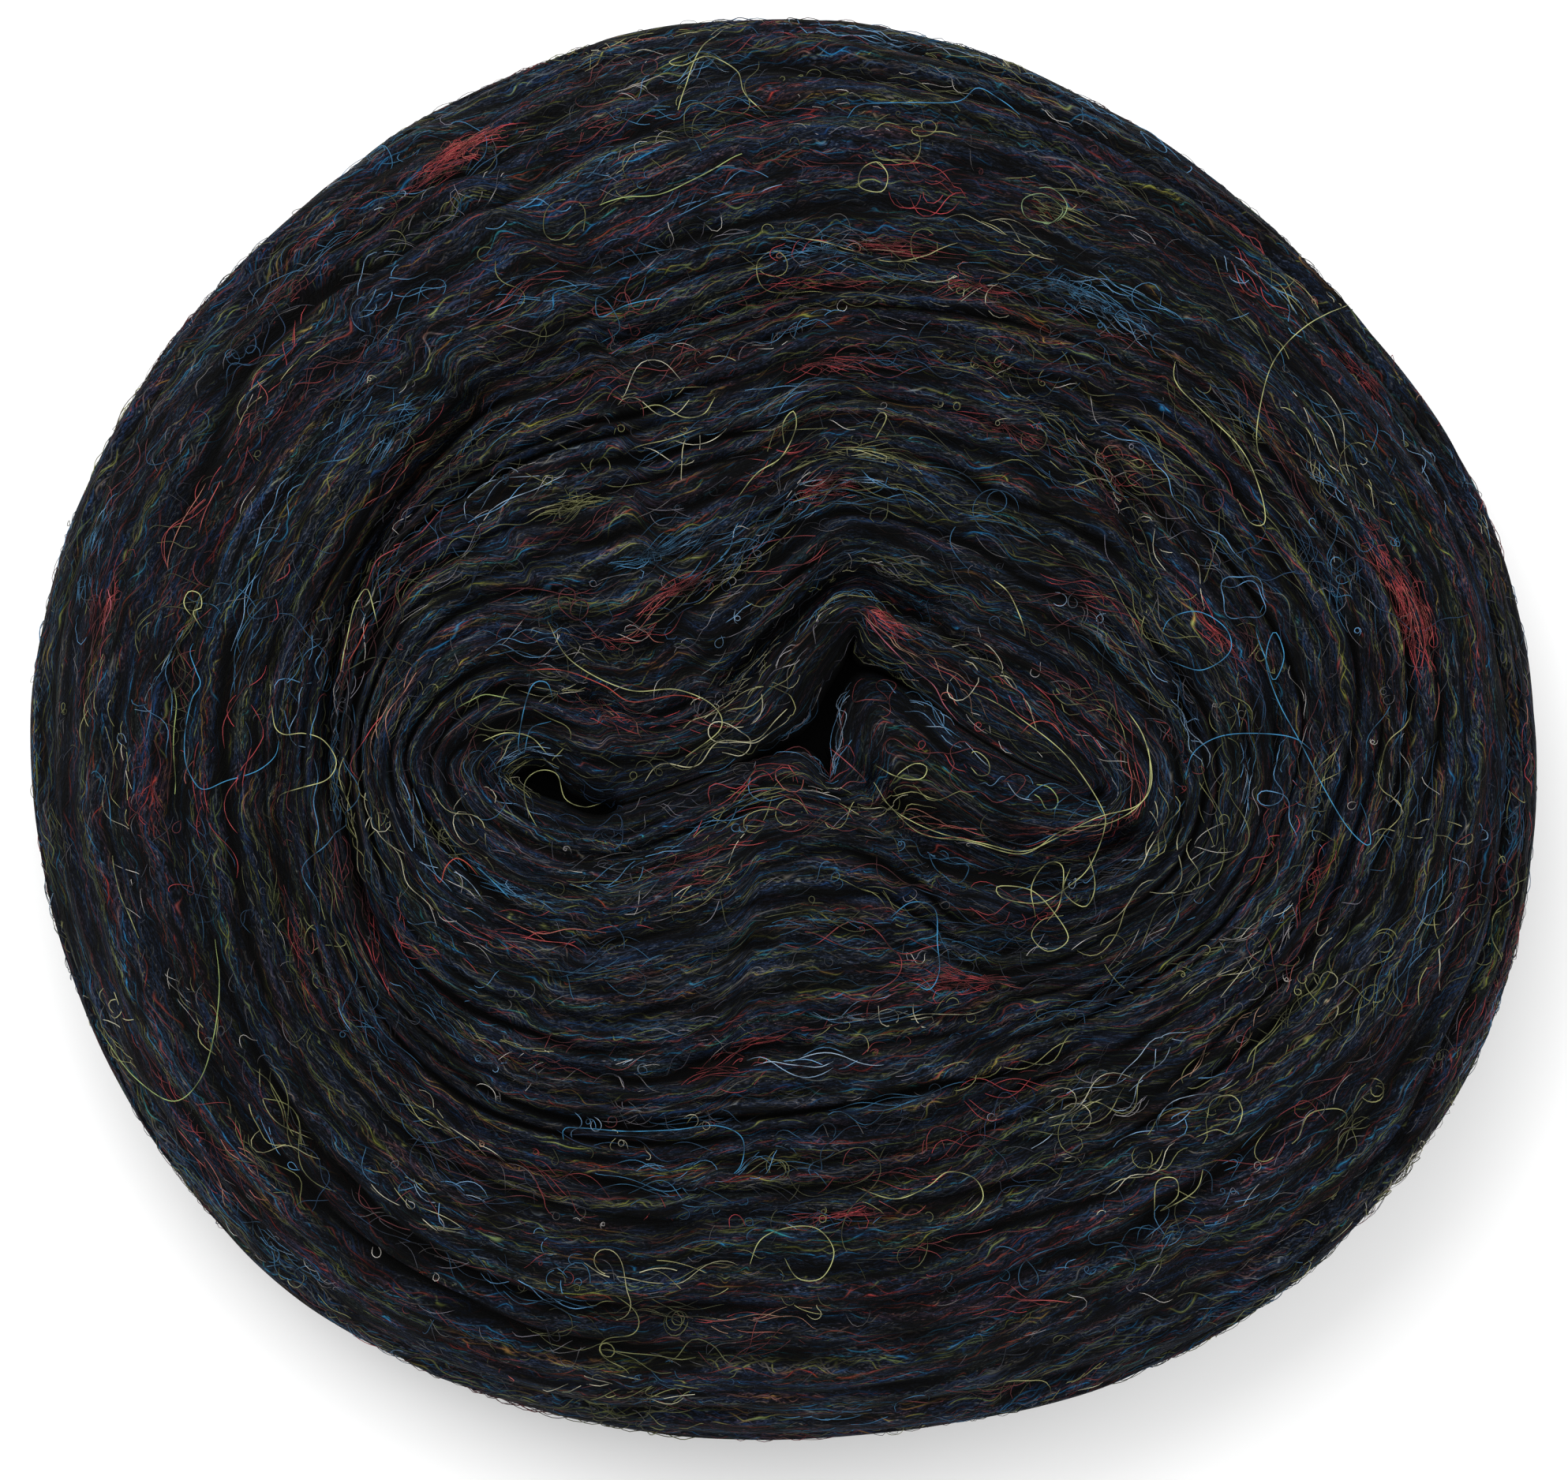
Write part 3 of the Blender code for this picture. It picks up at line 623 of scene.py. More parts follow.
class WoundSurface:
    """The visible surface as a grid, row by row from the core's wall to the underside's.

    smooth is the surface without its layers; relief is how far the layers and strands stand
    out of it, along direction. A step of one column is "along" mm ahead round the winding, and
    a step of one row is "across" mm to the side of it and "slant" mm ahead.
    """

    def __init__(self):
        self.smooth, self.direction, self.relief = wound_surface()
        self.points = self.smooth + self.direction * self.relief[..., None]
        self.points[..., 2] = np.maximum(self.points[..., 2], LEAST_HEIGHT)
        column_step = (np.roll(self.smooth, -1, axis=1) - np.roll(self.smooth, 1, axis=1)) / 2
        row_step = np.gradient(self.smooth, axis=0)
        self.normal = unit(np.cross(row_step, column_step))
        ahead = unit(column_step)
        self.along = np.linalg.norm(column_step, axis=2)
        self.slant = (row_step * ahead).sum(axis=2)
        self.across = np.maximum((row_step * np.cross(ahead, self.normal)).sum(axis=2), 0.05)

    def at(self, field, row, column):
        """A field between grid points: linear along both, and closed round the winding."""
        rows, columns = field.shape[:2]
        row = np.clip(row, 0, rows - 1.001)
        i = np.floor(row).astype(int)
        j = np.floor(column).astype(int)
        to_row = row - i
        to_column = column - j
        if field.ndim == 3:
            to_row = to_row[..., None]
            to_column = to_column[..., None]
        j, ahead = j % columns, (j + 1) % columns
        near = field[i, j] * (1 - to_column) + field[i, ahead] * to_column
        far = field[i + 1, j] * (1 - to_column) + field[i + 1, ahead] * to_column
        return near * (1 - to_row) + far * to_row

    def openness(self):
        """How open to the light each point is, in mm of relief: the core's holes are dark."""
        below = self.points[LIP_ROWS, :, 2] - self.points[:LIP_ROWS, :, 2]
        sunk = np.clip((below - SUNK_FROM) / SUNK_OVER, 0, 1)
        opened = self.relief.copy()
        opened[:LIP_ROWS] -= HOLE_SHADE * sunk + LIP_SHADE * np.clip(below, 0, LIP_SHADE_MOST)
        opened[0] = WALL_OPENNESS
        return opened

    def nearest(self, plan, last_row):
        """Row and column of the grid point that is nearest in plan, among the upper rows."""
        grid = self.smooth[:last_row, :, :2].reshape(-1, 2)
        place = [np.argmin(((grid - point)**2).sum(axis=1)) for point in plan]
        return np.array(place) // COLUMNS, np.array(place) % COLUMNS


def wound_surface():
    """The surface without its layers, the direction in which they stand out, and how far."""
    turn = np.arange(COLUMNS) / COLUMNS
    lip = LIP_SHARE * np.linspace(0, 1, LIP_ROWS, endpoint=False)**1.5
    face_rows = FACE_LAYERS * np.arange(FACE_ROWS) / FACE_ROWS
    face = LIP_SHARE + (1 - RIM_SHARE - LIP_SHARE) * face_rows / FACE_LAYERS
    side, side_height, slope = rim_section(SIDE_ROWS)
    side_rows = np.linspace(0, SIDE_LAYERS, SIDE_ROWS)
    under_rows = UNDER_LAYERS * np.arange(1, UNDER_ROWS + 1) / UNDER_ROWS
    under = (1 - RIM_SHARE) * (1 - under_rows / UNDER_LAYERS)
    layer = np.concatenate([lip, face, side, under])

    weights = ring_weights(layer)
    curves = rings(turn)
    plan = np.einsum("lr,rtc->ltc", weights, curves)
    nudge = 0.001
    outward = unit(np.einsum("lr,rtc->ltc", ring_weights(layer + nudge) - weights, curves))

    grid_layer = np.repeat(layer[:, None], COLUMNS, axis=1)
    crown = HEIGHT - CROWN_FALL * (layer - CROWN_LAYER)**2
    top = crown[:, None] + face_relief(grid_layer, turn[None, :])
    lip_end = len(lip)
    face_end = lip_end + len(face)
    side_end = face_end + len(side)
    height = np.zeros(top.shape)
    height[:face_end] = top[:face_end]

    # The lip rolls over a quarter ellipse down to the floor of the core, and inwards on its way.
    roll = 1 - np.sqrt(1 - (1 - lip / LIP_SHARE)**2)
    depth = core_depth(plan[:lip_end])
    floor = np.where(depth < SEAM_DEPTH + SEAM_FELT,
                     SEAM_DEPTH - SEAM_FELT + 2 * (depth - SEAM_DEPTH),
                     np.minimum(depth, CLEFT_FLOOR))
    height[:lip_end] -= floor * roll[:, None]
    plan[:lip_end] += slit_closing(plan[0]) * ((1 - lip / LIP_SHARE)**1.5)[:, None, None]

    # The side keeps the face's own level at its top and is flat at its foot.
    share = np.clip(side_height / HEIGHT, 0, 1)[:, None]
    height[face_end:side_end] = side_height[:, None] + (top[face_end:side_end] - HEIGHT) * share**4

    # Layers wander a little across the winding, and stand out along the surface.
    random = np.random.default_rng(SEED + 2)
    across = np.linspace(0, 1, len(layer))[:, None]
    wander = sum(size * value_noise(across, turn[None, :], cells, cells_round, random)
                 for size, cells, cells_round in WANDER)
    ridges = np.zeros(top.shape)
    ridges[lip_end:face_end] = layer_ridges(
        FACE_LAYERS, face_rows[:, None] + wander[lip_end:face_end], turn, SEED)
    ridges[face_end:side_end] = layer_ridges(
        SIDE_LAYERS, side_rows[:, None] + wander[face_end:side_end], turn, SEED + 1)
    in_under = layer_ridges(UNDER_LAYERS, under_rows[:, None] + wander[side_end:], turn, SEED + 3)

    # Strands on the layers: noise that is long round the winding and short across it.
    width_mm = np.linalg.norm(np.diff(np.concatenate([plan, height[..., None]], 2), axis=0), axis=2)
    across_mm = np.concatenate([[0], np.cumsum(width_mm.mean(axis=1))])
    across = (across_mm / across_mm[-1])[:, None]
    round_mm = 2 * np.pi * MEAN_RADIUS
    strands = np.zeros(top.shape)
    for spacing, length, size in STREAKS:
        strands += size * value_noise(across, turn[None, :], int(across_mm[-1] / spacing),
                                      int(round_mm / length), random)
    tilt = np.full(len(layer), np.pi / 2)
    tilt[face_end:side_end] = slope
    tilt = tilt[:, None]
    foot = np.ones(len(layer))
    foot[face_end:side_end] = np.clip(side_height / FOOT_FADE, 0, 1)
    foot[:lip_end] = LIP_RELIEF + (1 - LIP_RELIEF) * lip / LIP_SHARE
    foot[side_end:] = 0
    relief = (ridges + strands) * foot[:, None]
    direction = np.concatenate([outward * np.cos(tilt)[..., None],
                                np.broadcast_to(np.sin(tilt)[..., None], (*top.shape, 1))], axis=2)

    # The underside rests on its crests and rises at its core.
    height[side_end:] = DIMPLE * np.clip(1 - under / DIMPLE_SHARE, 0, 1)[:, None]
    start = np.clip(under_rows / 2, 0, 1)[:, None]
    hollow = np.clip((CREST - in_under) / (CREST + VALLEY), 0, 1) * UNDER_RELIEF
    relief[side_end:] = -(hollow + UNDER_STRANDS * (strands[side_end:] + 0.5)) * start
    direction[side_end:] = 0, 0, -1
    return np.concatenate([plan, height[..., None]], axis=2), direction, relief


def write_mesh(name, points, faces, corners):
    """Mesh from an array of points in mm, with its faces as loop indices and corner counts."""
    mesh = bpy.data.meshes.new(name)
    mesh.vertices.add(len(points))
    mesh.vertices.foreach_set("co", (points * MM).astype(np.float32).ravel())
    mesh.loops.add(len(faces))
    mesh.loops.foreach_set("vertex_index", faces.astype(np.int32))
    mesh.polygons.add(len(corners))
    mesh.polygons.foreach_set("loop_start", (np.cumsum(corners) - corners).astype(np.int32))
    mesh.update(calc_edges=True)
    mesh.shade_smooth()
    return mesh


def write_attribute(mesh, name, values):
    """A number or a vector at each vertex, for the material to read."""
    if values.ndim == 1:
        mesh.attributes.new(name, "FLOAT", "POINT").data.foreach_set("value", values)
    else:
        data = mesh.attributes.new(name, "FLOAT_VECTOR", "POINT").data
        data.foreach_set("vector", values.astype(np.float32).ravel())


def write_map(mesh, places):
    """The mesh's map for textures: a place from 0 to 1 at each corner of each face."""
    mesh.uv_layers.new(name="OFBake").data.foreach_set("uv", places.astype(np.float32).ravel())


def grid_faces(rows, columns):
    """Quads between the rows of a grid that runs round, and a cap face on each end row."""
    row, column = np.meshgrid(np.arange(rows - 1), np.arange(columns), indexing="ij")
    ahead = (column + 1) % columns
    quads = np.stack([row * columns + column, (row + 1) * columns + column,
                      (row + 1) * columns + ahead, row * columns + ahead], axis=-1)
    top = np.arange(columns)
    bottom = np.arange(rows * columns - 1, (rows - 1) * columns - 1, -1)
    corners = np.concatenate([np.full((rows - 1) * columns, 4), [columns, columns]])
    return np.concatenate([quads.ravel(), top, bottom]), corners


def grow(grid, row, column, heading, step):
    """Paths over the surface, one for each start, as rows and columns of the grid.

    heading has each path's angle from the winding at each of its points, in radians. Each
    step goes step mm that way on the surface.
    """
    rows = [row]
    columns = [column]
    for angle in heading[:, :-1].T:
        down = np.clip(step * np.sin(angle) / grid.at(grid.across, row, column), -4, 4)
        ahead = step * np.cos(angle) - grid.at(grid.slant, row, column) * down
        column = column + ahead / grid.at(grid.along, row, column)
        row = np.clip(row + down, 1, grid.smooth.shape[0] - 2)
        rows.append(row)
        columns.append(column)
    return np.stack(rows, axis=1), np.stack(columns, axis=1)


def headings(random, bundle, count, segments, step, wander, loops, least, most):
    """Each fibre's angle from the winding at each point: slow waves, hooks and loops.

    Fibres of one bundle share most of their waves. A hook or loop of a given radius is about
    half a turn to a whole one over as much of its circumference, quickest in its middle. After
    it the fibre comes back to the winding's way.
    """
    distance = np.arange(segments + 1) * step
    bundles = bundle.max() + 1
    of_bundle = bundles, WAVES
    own = count, WAVES
    shortest = max(WAVE_LENGTHS[0], WAVE_STEPS * step)
    length = random.uniform(shortest, WAVE_LENGTHS[1], of_bundle)[bundle]
    length = length * random.uniform(*OWN_LENGTH, own)
    phase = random.uniform(0, 2 * np.pi, of_bundle)[bundle]
    phase = phase + random.normal(0, OWN_PHASE, own)
    size = random.normal(0, 1, of_bundle)[bundle] + random.normal(0, OWN_SIZE, own)
    angle = 2 * np.pi * distance / length[..., None] + phase[..., None]
    heading = (size[..., None] * np.sin(angle)).sum(axis=1) * wander / 2
    turned = np.zeros(heading.shape)
    for _ in range(MOST_LOOPS):
        turns = random.uniform(*LOOP_TURNS, (count, 1)) * random.choice([-1, 1], (count, 1))
        turns[random.uniform(0, 1, count) > loops / MOST_LOOPS] = 0
        arc = 2 * np.pi * random.uniform(least, most, (count, 1)) * np.abs(turns) + 0.01
        start = random.uniform(0, 1, (count, 1)) * np.maximum(distance[-1] - arc, 0)
        share = np.clip((distance - start) / arc, 0, 1)
        back = np.clip((distance - start - arc) / STRAIGHTENS, 0, 1)
        turned += 2 * np.pi * (turns * smooth_step(share) - (turns - np.rint(turns)) * back)
    backwards = random.integers(0, 2, (bundles, 1))[bundle] * np.pi
    return heading + turned + backwards


def fibre_points(grid, random, row, column, heading, step, lift):
    """Middle line and upward direction of fibres that grow from the given starts.

    A fibre rides over the crests and spans the valleys at a level of its own, and weaves in
    and out of the wool every few millimetres. Its ends go back into the wool. What it rides
    over is evened out twice between neighbouring points, in shares of 1, 2 and 1.
    """
    rows, columns = grow(grid, row, column, heading, step)
    each = len(row), 1
    level = random.uniform(*SPAN_LEVELS, each)
    level = np.where(rows > LIP_ROWS + FACE_ROWS + SIDE_ROWS, UNDER_LEVEL, level)
    over = np.maximum(grid.at(grid.relief, rows, columns), level)
    for _ in range(2):
        over[:, 1:-1] = (over[:, :-2] + 2 * over[:, 1:-1] + over[:, 2:]) / 4
    along = np.linspace(0, 1, heading.shape[1])
    window = np.clip(6 * np.minimum(along, 1 - along), 0, 1)
    waves = np.maximum(heading.shape[1] * step / random.uniform(*WEAVE_LENGTHS, each), 0.6)
    wave = np.sin(2 * np.pi * (along * waves + random.uniform(0, 1, each)))
    rise = lift * random.uniform(*LIFTS, each)
    on_side = (rows > LIP_ROWS + FACE_ROWS) & (rows < LIP_ROWS + FACE_ROWS + SIDE_ROWS)
    rise = rise * np.where(on_side, SIDE_LIFT, 1.0)
    height = -END_DEPTH + window * (END_DEPTH + rise + WEAVE * wave)
    normal = unit(grid.at(grid.normal, rows, columns))
    points = grid.at(grid.smooth, rows, columns)
    points += grid.at(grid.direction, rows, columns) * over[..., None] + normal * height[..., None]
    return points, normal


def tubes(points, upward, radius, sides):
    """Closed tubes along middle lines: a ring of points about each of theirs, thinner at the ends.

    Gives the points, the faces as loop indices with their corner counts, and the number of
    its tube, its share of the length and its side at each corner.
    """
    count, stops = points.shape[:2]
    ahead = unit(np.gradient(points, axis=1))
    across = unit(np.cross(ahead, upward))
    upward = np.cross(across, ahead)
    along = np.linspace(0, 1, stops)
    thin = np.clip(0.35 + 5 * np.minimum(along, 1 - along), 0, 1) * radius
    turn = 2 * np.pi * np.arange(sides) / sides
    ring = (across[:, :, None] * np.cos(turn)[:, None] + upward[:, :, None] * np.sin(turn)[:, None])
    shell = points[:, :, None] + ring * thin[:, None, None]

    tube, stop, side = np.meshgrid(
        np.arange(count), np.arange(stops - 1), np.arange(sides), indexing="ij")
    beside = (side + 1) % sides
    here = (tube * stops + stop) * sides
    quads = np.stack(
        [here + side, here + sides + side, here + sides + beside, here + beside], axis=-1)
    first = np.arange(count)[:, None] * stops * sides + np.arange(sides)
    last = first[:, ::-1] + (stops - 1) * sides
    faces = np.concatenate([quads.ravel(), first.ravel(), last.ravel()])
    corners = np.concatenate([np.full(tube.size, 4), np.full(2 * count, sides)])
    quad_stop = np.stack([stop, stop + 1, stop + 1, stop], axis=-1).ravel()
    quad_side = np.stack([side, side, side + 1, side + 1], axis=-1).ravel()
    cap_side = np.tile(np.arange(sides), 2 * count)
    cap_stop = np.concatenate([np.zeros(count * sides), np.full(count * sides, stops - 1)])
    cap_tube = np.tile(np.repeat(np.arange(count), sides), 2)
    which = np.concatenate([np.repeat(tube.ravel(), 4), cap_tube])
    share = np.concatenate([quad_stop, cap_stop]) / (stops - 1)
    around = np.concatenate([quad_side, cap_side]) / sides
    return shell.reshape(-1, 3), faces, corners, (which, share, around)


def join_tubes(name, batches):
    """One mesh of batches of tubes, with each tube's tint and a cell of the texture map for it."""
    points, faces, corners, tints, which, share, around = [], [], [], [], [], [], []
    for line, upward, radius, tint, sides in batches:
        shell, face, corner, cell = tubes(line, upward, radius, sides)
        faces.append(face + sum(len(p) for p in points))
        points.append(shell)
        corners.append(corner)
        which.append(cell[0] + sum(len(t) for t in tints))
        share.append(cell[1])
        around.append(cell[2])
        tints.append(tint)
    per_tube = [np.full(len(tint), len(shell) // len(tint)) for tint, shell in zip(tints, points)]
    points = np.concatenate(points)
    points[:, 2] = np.maximum(points[:, 2], LEAST_HEIGHT)
    mesh = write_mesh(name, points, np.concatenate(faces), np.concatenate(corners))
    tint = np.repeat(np.concatenate(tints), np.concatenate(per_tube))
    write_attribute(mesh, "tint", tint.astype(np.float32))
    which = np.concatenate(which)
    side = int(np.ceil(np.sqrt(which.max() + 1)))
    cell = np.stack([which % side, which // side], axis=-1)
    inside = np.stack([np.concatenate(share), np.concatenate(around)], axis=-1)
    write_map(mesh, (cell + 0.1 + 0.8 * inside) / side)
    return mesh


def family_starts(grid, random, count, in_bundle):
    """Where fibres start and which bundle each is in: bundles fall evenly on each zone's area."""
    zone = np.concatenate([np.full(n, weight) for n, weight in zip(
        (LIP_ROWS + FACE_ROWS, SIDE_ROWS, UNDER_ROWS), ZONE_WEIGHTS)])
    zone[:LIP_ROWS] = np.linspace(*LIP_WEIGHTS, LIP_ROWS)
    area = grid.along * grid.across * zone[:, None]
    chance = np.cumsum(area.ravel())
    bundles = max(count // in_bundle, 1)
    place = np.searchsorted(chance, random.uniform(0, chance[-1], bundles))
    bundle = np.arange(count) % bundles
    row = (place // COLUMNS)[bundle].astype(float)
    column = (place % COLUMNS)[bundle].astype(float)
    return (*spread_out(grid, random, row, column, *BUNDLE_SPREAD), bundle)


def spread_out(grid, random, row, column, along, across):
    """Moves starts at random over a length along the winding and a width across it, in mm."""
    aside = random.normal(0, across / 2, len(row)) / grid.at(grid.across, row, column)
    ahead = random.normal(0, along / 2, len(row)) / grid.at(grid.along, row, column)
    return np.clip(row + aside, 2, grid.smooth.shape[0] - 3), column + ahead


def fibre_family(name, seed):
    """Mesh of all fibres and tufts of one colour."""
    grid = surface()
    random = np.random.default_rng(seed)
    batches = []
    for row in FIBRES[name]:
        _, count, in_bundle, segments, step, radius, lift, wander, loops, least, most = row
        starts, columns, bundle = family_starts(grid, random, count, in_bundle)
        heading = headings(random, bundle, count, segments, step, wander, loops, least, most)
        line, upward = fibre_points(grid, random, starts, columns, heading, step, lift)
        tint = random.uniform(0, 1, bundle.max() + 1)[bundle]**DULLNESS
        tint = tint + random.normal(0, TINT_SPREAD, count)
        batches.append((line, upward, radius, np.clip(tint, 0, 1), FIBRE_SIDES))
    for x, y, length, width, count, tint in TUFTS.get(name, ()):
        segments, step, radius, lift, wander = TUFT_KIND
        place = grid.nearest([photo_point(x, y)], LIP_ROWS + FACE_ROWS + SIDE_ROWS // 2)
        starts, columns = (np.repeat(part.astype(float), count) for part in place)
        starts, columns = spread_out(grid, random, starts, columns, length, width)
        bundle = np.arange(count) % TUFT_BUNDLES
        heading = headings(random, bundle, count, segments, step, wander, *TUFT_LOOPS)
        line, upward = fibre_points(grid, random, starts, columns, heading, step, lift)
        tints = np.clip(tint + random.normal(0, TUFT_TINT_SPREAD, count), 0, 0.9)
        batches.append((line, upward, radius, tints, FIBRE_SIDES))
    return join_tubes(name, batches)


def photo_point(x, y):
    """Plan point in mm of a pixel of the photograph."""
    return (x - PHOTO_CENTRE[0]) * PHOTO_MM, (PHOTO_CENTRE[1] - y) * PHOTO_MM


def smooth_line(points, step):
    """Points every step mm along the Catmull-Rom curve through the given plan points."""
    ends = np.concatenate([[2 * points[0] - points[1]], points, [2 * points[-1] - points[-2]]])
    before, start, end, after = ends[:-3], ends[1:-2], ends[2:-1], ends[3:]
    t = np.linspace(0, 1, 24, endpoint=False)[None, :, None]
    before, start, end, after = (p[:, None] for p in (before, start, end, after))
    curve = 0.5 * (2 * start + (end - before) * t
                   + (2 * before - 5 * start + 4 * end - after) * t**2
                   + (3 * start - before - 3 * end + after) * t**3)
    curve = np.concatenate([curve.reshape(-1, 2), points[-1:]])
    length = np.concatenate([[0], np.cumsum(np.linalg.norm(np.diff(curve, axis=0), axis=1))])
    even = np.linspace(0, length[-1], max(int(length[-1] / step), 6) + 1)
    return np.stack([np.interp(even, length, curve[:, axis]) for axis in (0, 1)], axis=-1)


def stray_fibres():
    """Mesh of the stray fibres: lines over the cake that span its grooves, ends in the wool.

    Each rides at the highest wool within 2 mm of it, evened out over 6 mm of its length.
    """
    grid = surface()
    random = np.random.default_rng(SEED + 60)
    upper = grid.points[:LIP_ROWS + FACE_ROWS + SIDE_ROWS // 2].reshape(-1, 3)
    cell = 1.0
    reach = 105
    index = np.rint(upper[:, :2] / cell).astype(int) + reach
    ceiling = np.full((2 * reach + 1, 2 * reach + 1), 8.0)
    np.maximum.at(ceiling, (index[:, 0], index[:, 1]), upper[:, 2])
    batches = []
    for colour, lift, pixels in STRAYS:
        plan = smooth_line(np.array([photo_point(x, y) for x, y in zip(pixels[::2], pixels[1::2])]),
                           STRAY_STEP)
        place = np.clip(np.rint(plan / cell).astype(int) + reach, 2, 2 * reach - 2)
        around = [ceiling[place[:, 0] + i, place[:, 1] + j] for i in (-1, 0, 1) for j in (-1, 0, 1)]
        height = np.max(around, axis=0)
        window = np.ones(2 * STRAY_EVEN + 1) / (2 * STRAY_EVEN + 1)
        height = np.convolve(np.pad(height, STRAY_EVEN, mode="edge"), window, mode="valid")
        along = np.linspace(0, 1, len(plan))
        ends = np.clip(8 * np.minimum(along, 1 - along), 0, 1)
        wave = np.sin(2 * np.pi * (3 * along + random.uniform()))
        height += -STRAY_DEPTH + ends * (STRAY_RISE + lift * (0.6 + 0.3 * wave))
        line = np.concatenate([plan, height[:, None]], axis=1)[None]
        upward = np.broadcast_to([0.0, 0.0, 1.0], line.shape)
        tint = np.array([STRAY_TINTS[colour] + random.normal(0, 0.03)])
        batches.append((line, upward, STRAY_RADIUS, tint, STRAY_SIDES))
    return join_tubes("stray_fibres", batches)


def put_in_scene(mesh, material):
    """An object for a finished mesh, on the cake's body and in its material slot."""
    piece = bpy.data.objects.new(mesh.name, mesh)
    bpy.context.scene.collection.objects.link(piece)
    mesh.materials.append(material)
    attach(piece, BODY)
    return piece


def srgb(code):
    """Linear colour with alpha from an sRGB hex code such as #1a2b3c."""
    share = np.array([int(code[i:i + 2], 16) / 255 for i in (1, 3, 5)])
    linear = np.where(share <= 0.04045, share / 12.92, ((share + 0.055) / 1.055)**2.4)
    return (*linear, 1.0)


def add_node(tree, kind, settings=None, inputs=None, stops=()):
    """Adds a node, sets its properties, and sets each input to a value or links it to an output.

    An input that is given a node takes its first output. stops holds a colour ramp's places
    and linear colours.
    """
    node = tree.nodes.new(kind)
    for key, value in (settings or {}).items():
        setattr(node, key, value)
    for key, value in (inputs or {}).items():
        if isinstance(value, bpy.types.Node):
            value = value.outputs[0]
        if isinstance(value, bpy.types.NodeSocket):
            tree.links.new(value, node.inputs[key])
        else:
            node.inputs[key].default_value = value
    for number, (place, colour) in enumerate(stops):
        elements = node.color_ramp.elements
        stop = elements[number] if number < len(elements) else elements.new(place)
        stop.position = place
        stop.color = (*colour[:3], 1.0)
    return node


def new_material(name):
    """A material with an empty shader tree but for its Principled shader."""
    material = bpy.data.materials.new(name)
    material.use_nodes = True
    return material, material.node_tree, material.node_tree.nodes["Principled BSDF"]


